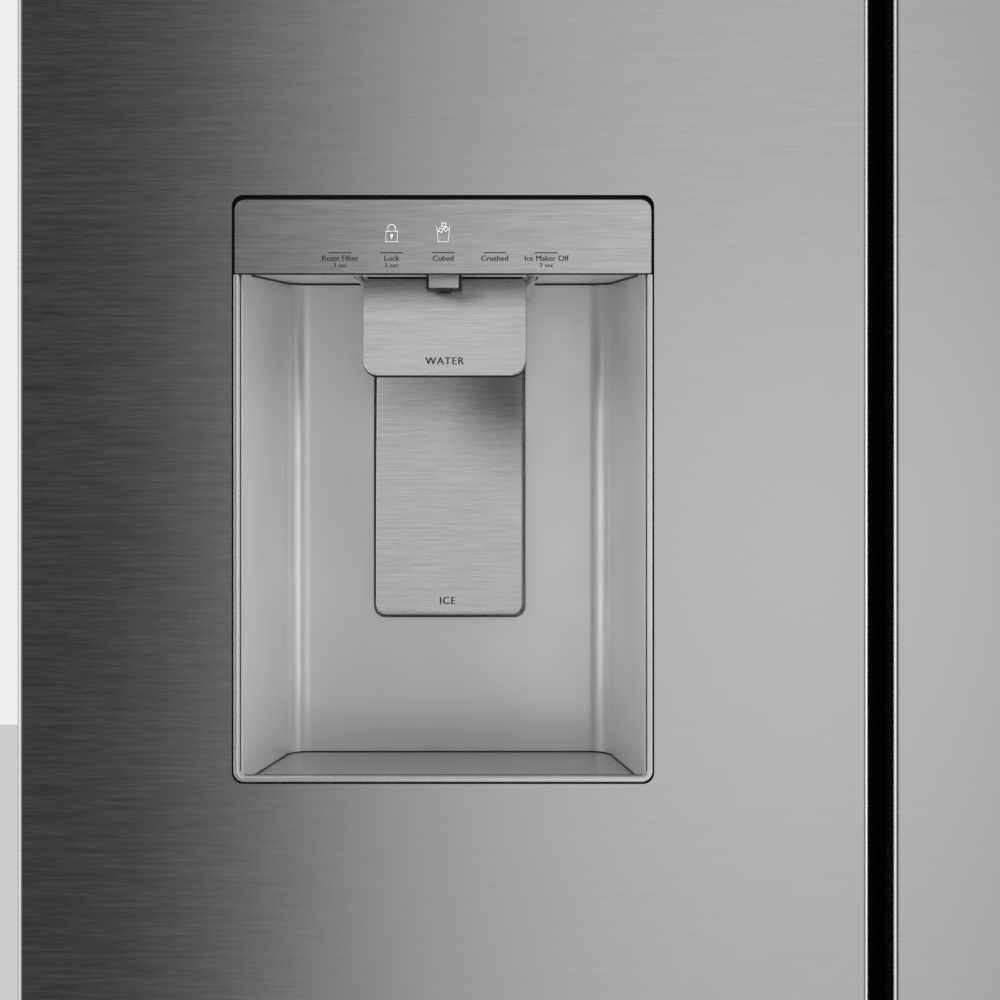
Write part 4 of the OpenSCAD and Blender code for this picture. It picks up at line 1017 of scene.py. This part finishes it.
def rear_sheet():
    """The rear sheet with three pressed panels, a folded rim and its screws."""
    (x0, y0, z0), (x1, y1, z1) = box_mm("back_panel")
    plane = y1 - 1.5
    bm = bmesh.new()
    add_rings(bm, (x0, z0), (x1, z1), 4, [(0, y0), (0, plane - 0.3), (0.4, plane)], standing)
    for x in (-240, 0, 240):
        profile = [(0, plane - 0.2), (0.6, plane), (3, plane + 1.0), (5, plane + 1.5)]
        add_rings(bm, (x - 40, z0 + 106), (x + 40, z1 - 120), 20, profile, standing, steps=8)
    new_piece("rear_sheet", bm, "cabinet", ZINC, ["back_panel"], 30)
    screws = bmesh.new()
    for x in (x0 + 9, x1 - 9):
        for i in range(7):
            add_screw(screws, lying(x, plane, z0 + 30 + (z1 - z0 - 60) * i / 6), "Y")
    for x in (-300, -100, 100, 300):
        add_screw(screws, lying(x, plane, z1 - 12), "Y")
    (cx0, _, cz0), (cx1, _, cz1) = box_mm("machine_cover")
    for x in (cx0 + 10, 0, cx1 - 10):
        for z in (cz0 + 10, cz1 - 8):
            add_screw(screws, lying(x, 342.5, z), "Y")
    new_piece("rear_screws", screws, "cabinet", BRIGHT, smooth_angle=40)


# width in millimetres that the edges of a carried-over CAD node are broken by
SOFT_EDGES = {
    0.9: ("cabinet_shell", "auger_motor", "ice_bucket", "ice_maker", "dairy_lid", "air_duct", "kick_grille"),
    0.6: ("freezer_door_liner", "fridge_door_liner", "water_valve", "water_filter", "evaporator_cover",
          "machine_cover", "top_hinges", "bottom_hinges", "shelf_glass", "humidity_slider", "chute_flap",
          "freezer_door_caps", "fridge_door_caps"),
}


def soften(node, width):
    """Rounds a CAD node's sharp edges for the render without touching its mesh."""
    piece = frame["nodes"][node]
    weld = piece.modifiers.new("weld", "WELD")
    weld.merge_threshold = 0.01 * MM
    edges = piece.modifiers.new("soft_edges", "BEVEL")
    edges.width = width * MM
    edges.segments = 2
    edges.limit_method = "ANGLE"
    edges.angle_limit = math.radians(50)
    flat = piece.modifiers.new("weighted_normals", "WEIGHTED_NORMAL")
    flat.weight = 100


for side, drawer in (("freezer", "freezer_drawer_upper"), ("fridge", "crisper_upper")):
    room_liner(side, drawer)
    door_bins(side)
    gasket(side)
for node in ("freezer_drawer_upper", "freezer_drawer_lower", "crisper_upper", "crisper_lower"):
    pull_out(node)
for build in (filter_socket, shelves, lamp_covers, hinge_caps, rear_sheet):
    build()
for width, nodes in SOFT_EDGES.items():
    for node in nodes:
        soften(node, width)

# ---- camera, light and floor

VIEW_DISTANCE = 0.6528
VIEW_OFFSET = (26.8, 133.0)
LENS_LENGTH, SENSOR_WIDTH = 50, 36


def camera():
    """Square on to the freezer door, level, a little right of the dispenser's middle."""
    data = bpy.data.cameras.new("camera")
    data.lens = LENS_LENGTH
    data.sensor_width = SENSOR_WIDTH
    data.clip_start = 0.02
    view = in_scene(bpy.data.objects.new("camera", data))
    view.location = at_dispenser(VIEW_OFFSET[0], 0, VIEW_OFFSET[1]) - Vector((0, VIEW_DISTANCE, 0))
    view.rotation_euler = (math.pi / 2, 0, 0)
    bpy.context.scene.camera = view


STUDIO_STRENGTH = 2.2
BACKDROP = 0.86
# brightness of the surround by compass direction in degrees: 0 is straight in front of the doors,
# a positive angle is to the right of it in the photo
ROUND = (
    (-180, 0.50), (-125, 0.60), (-85, 1.40), (-60, 2.0), (-46, 0.60), (-38, 0.50), (-30, 0.25), (-24, 0.06),
    (-20, 0.003), (-17, 0.005), (-13, 0.055), (-11, 0.13), (-8.5, 0.33), (-6, 0.56), (-3, 0.74), (2, 0.88),
    (10, 0.98), (21, 0.97), (28, 0.35), (36, 0.15), (45, 0.5), (58, 1.9), (80, 2.1), (100, 1.2),
    (130, 0.60), (180, 0.50),
)
# share of it by the sine of the height above the horizon
UPWARD = ((-1.0, 0.55), (-0.35, 0.73), (0.0, 1.0), (0.25, 0.67), (0.5, 0.70), (0.75, 0.85), (1.0, 1.0))


def grey_ramp(tree, value, low, high, stops, top):
    """Grey by a value between low and high, from (place, grey) stops, as a share of the grey top."""
    share = new_node(tree, "MapRange", From_Min=low, From_Max=high)
    tree.links.new(value, share.inputs["Value"])
    ramp = new_node(tree, "ValToRGB")
    ramp.color_ramp.interpolation = "EASE"
    elements = ramp.color_ramp.elements
    elements[0].position, elements[1].position = 0.0, 1.0
    for place, _ in stops[1:-1]:
        elements.new((place - stops[0][0]) / (stops[-1][0] - stops[0][0]))
    for element, (_, grey) in zip(elements, stops):
        element.color = (grey / top, grey / top, grey / top, 1)
    tree.links.new(share.outputs["Result"], ramp.inputs["Fac"])
    return ramp.outputs["Color"]


def studio():
    """Soft surround light: dim to the front left, bright to the front right, pale to the eye."""
    world = bpy.data.worlds.new("studio")
    bpy.context.scene.world = world
    world.use_nodes = True
    tree = world.node_tree
    tree.nodes.clear()
    link = tree.links.new
    split = new_node(tree, "SeparateXYZ")
    link(new_node(tree, "TexCoord").outputs["Generated"], split.inputs["Vector"])
    away = calculate(tree, "MULTIPLY", split.outputs["Y"], -1)
    turn = calculate(tree, "ARCTAN2", split.outputs["X"], away)
    product = new_node(tree, "MixRGB", Fac=1)
    product.blend_type = "MULTIPLY"
    link(grey_ramp(tree, turn, -math.pi, math.pi, ROUND, STUDIO_STRENGTH), product.inputs["Color1"])
    link(grey_ramp(tree, split.outputs["Z"], -1, 1, UPWARD, 1), product.inputs["Color2"])
    surround = new_node(tree, "Background", Strength=STUDIO_STRENGTH)
    link(product.outputs["Color"], surround.inputs["Color"])
    backdrop = new_node(tree, "Background", Color=(BACKDROP, BACKDROP, BACKDROP, 1))
    mix = new_node(tree, "MixShader")
    link(new_node(tree, "LightPath").outputs["Is Camera Ray"], mix.inputs["Fac"])
    link(surround.outputs["Background"], mix.inputs[1])
    link(backdrop.outputs["Background"], mix.inputs[2])
    link(mix.outputs["Shader"], new_node(tree, "OutputWorld").inputs["Surface"])


# the soft box: degrees to the right of straight ahead and above level, then metres, watts and metres
LAMP_TURN, LAMP_RISE = -43, 24
LAMP_DISTANCE, LAMP_POWER, LAMP_SIZE = 1.2, 42, (0.35, 0.5)
LIT_PIECES = ("water_paddle_plate", "ice_paddle_plate")
SHADING_PIECES = LIT_PIECES + (
    "water_paddle_carrier", "water_outlet", "water_spout", "control_plate", "chute_collar",
)


def lever_light():
    """A soft box to the left, linked to the two levers; only the parts in front of them shade it."""
    data = bpy.data.lights.new("soft_box_left", "AREA")
    data.shape = "RECTANGLE"
    data.size, data.size_y = LAMP_SIZE
    data.energy = LAMP_POWER
    light = in_scene(bpy.data.objects.new("soft_box_left", data))
    turn, rise = math.radians(LAMP_TURN), math.radians(LAMP_RISE)
    away = Vector((math.sin(turn) * math.cos(rise), -math.cos(turn) * math.cos(rise), math.sin(rise)))
    light.location = at_dispenser(0, 0, VIEW_OFFSET[1]) + away * LAMP_DISTANCE
    light.rotation_mode = "QUATERNION"
    light.rotation_quaternion = away.to_track_quat("Z", "Y")
    light.visible_glossy = False
    for kind, names in (("receiver_collection", LIT_PIECES), ("blocker_collection", SHADING_PIECES)):
        collection = bpy.data.collections.new("levers_" + kind)
        for name in names:
            collection.objects.link(bpy.data.objects[name])
        setattr(light.light_linking, kind, collection)


def floor():
    """Plain pale floor."""
    bm = bmesh.new()
    bmesh.ops.create_grid(bm, x_segments=8, y_segments=8, size=6.0)
    ground = mesh_object("floor", bm)
    s = Shader("floor_pale", Roughness=0.7)
    s.two_colours(s.noise(1.5, detail=4), (0.82, 0.82, 0.815), (0.84, 0.84, 0.835))
    # glossy surfaces see the studio below the horizon instead of the floor, as over a dark stage
    path, unseen, mix = (new_node(s.tree, kind) for kind in ("LightPath", "BsdfTransparent", "MixShader"))
    s.link(path.outputs["Is Glossy Ray"], mix.inputs["Fac"])
    s.link(s.bsdf.outputs["BSDF"], mix.inputs[1])
    s.link(unseen.outputs["BSDF"], mix.inputs[2])
    s.link(mix.outputs["Shader"], s.tree.nodes["Material Output"].inputs["Surface"])
    ground.data.materials.append(s.material)


camera()
studio()
lever_light()
floor()
bpy.context.scene.view_settings.view_transform = "Standard"
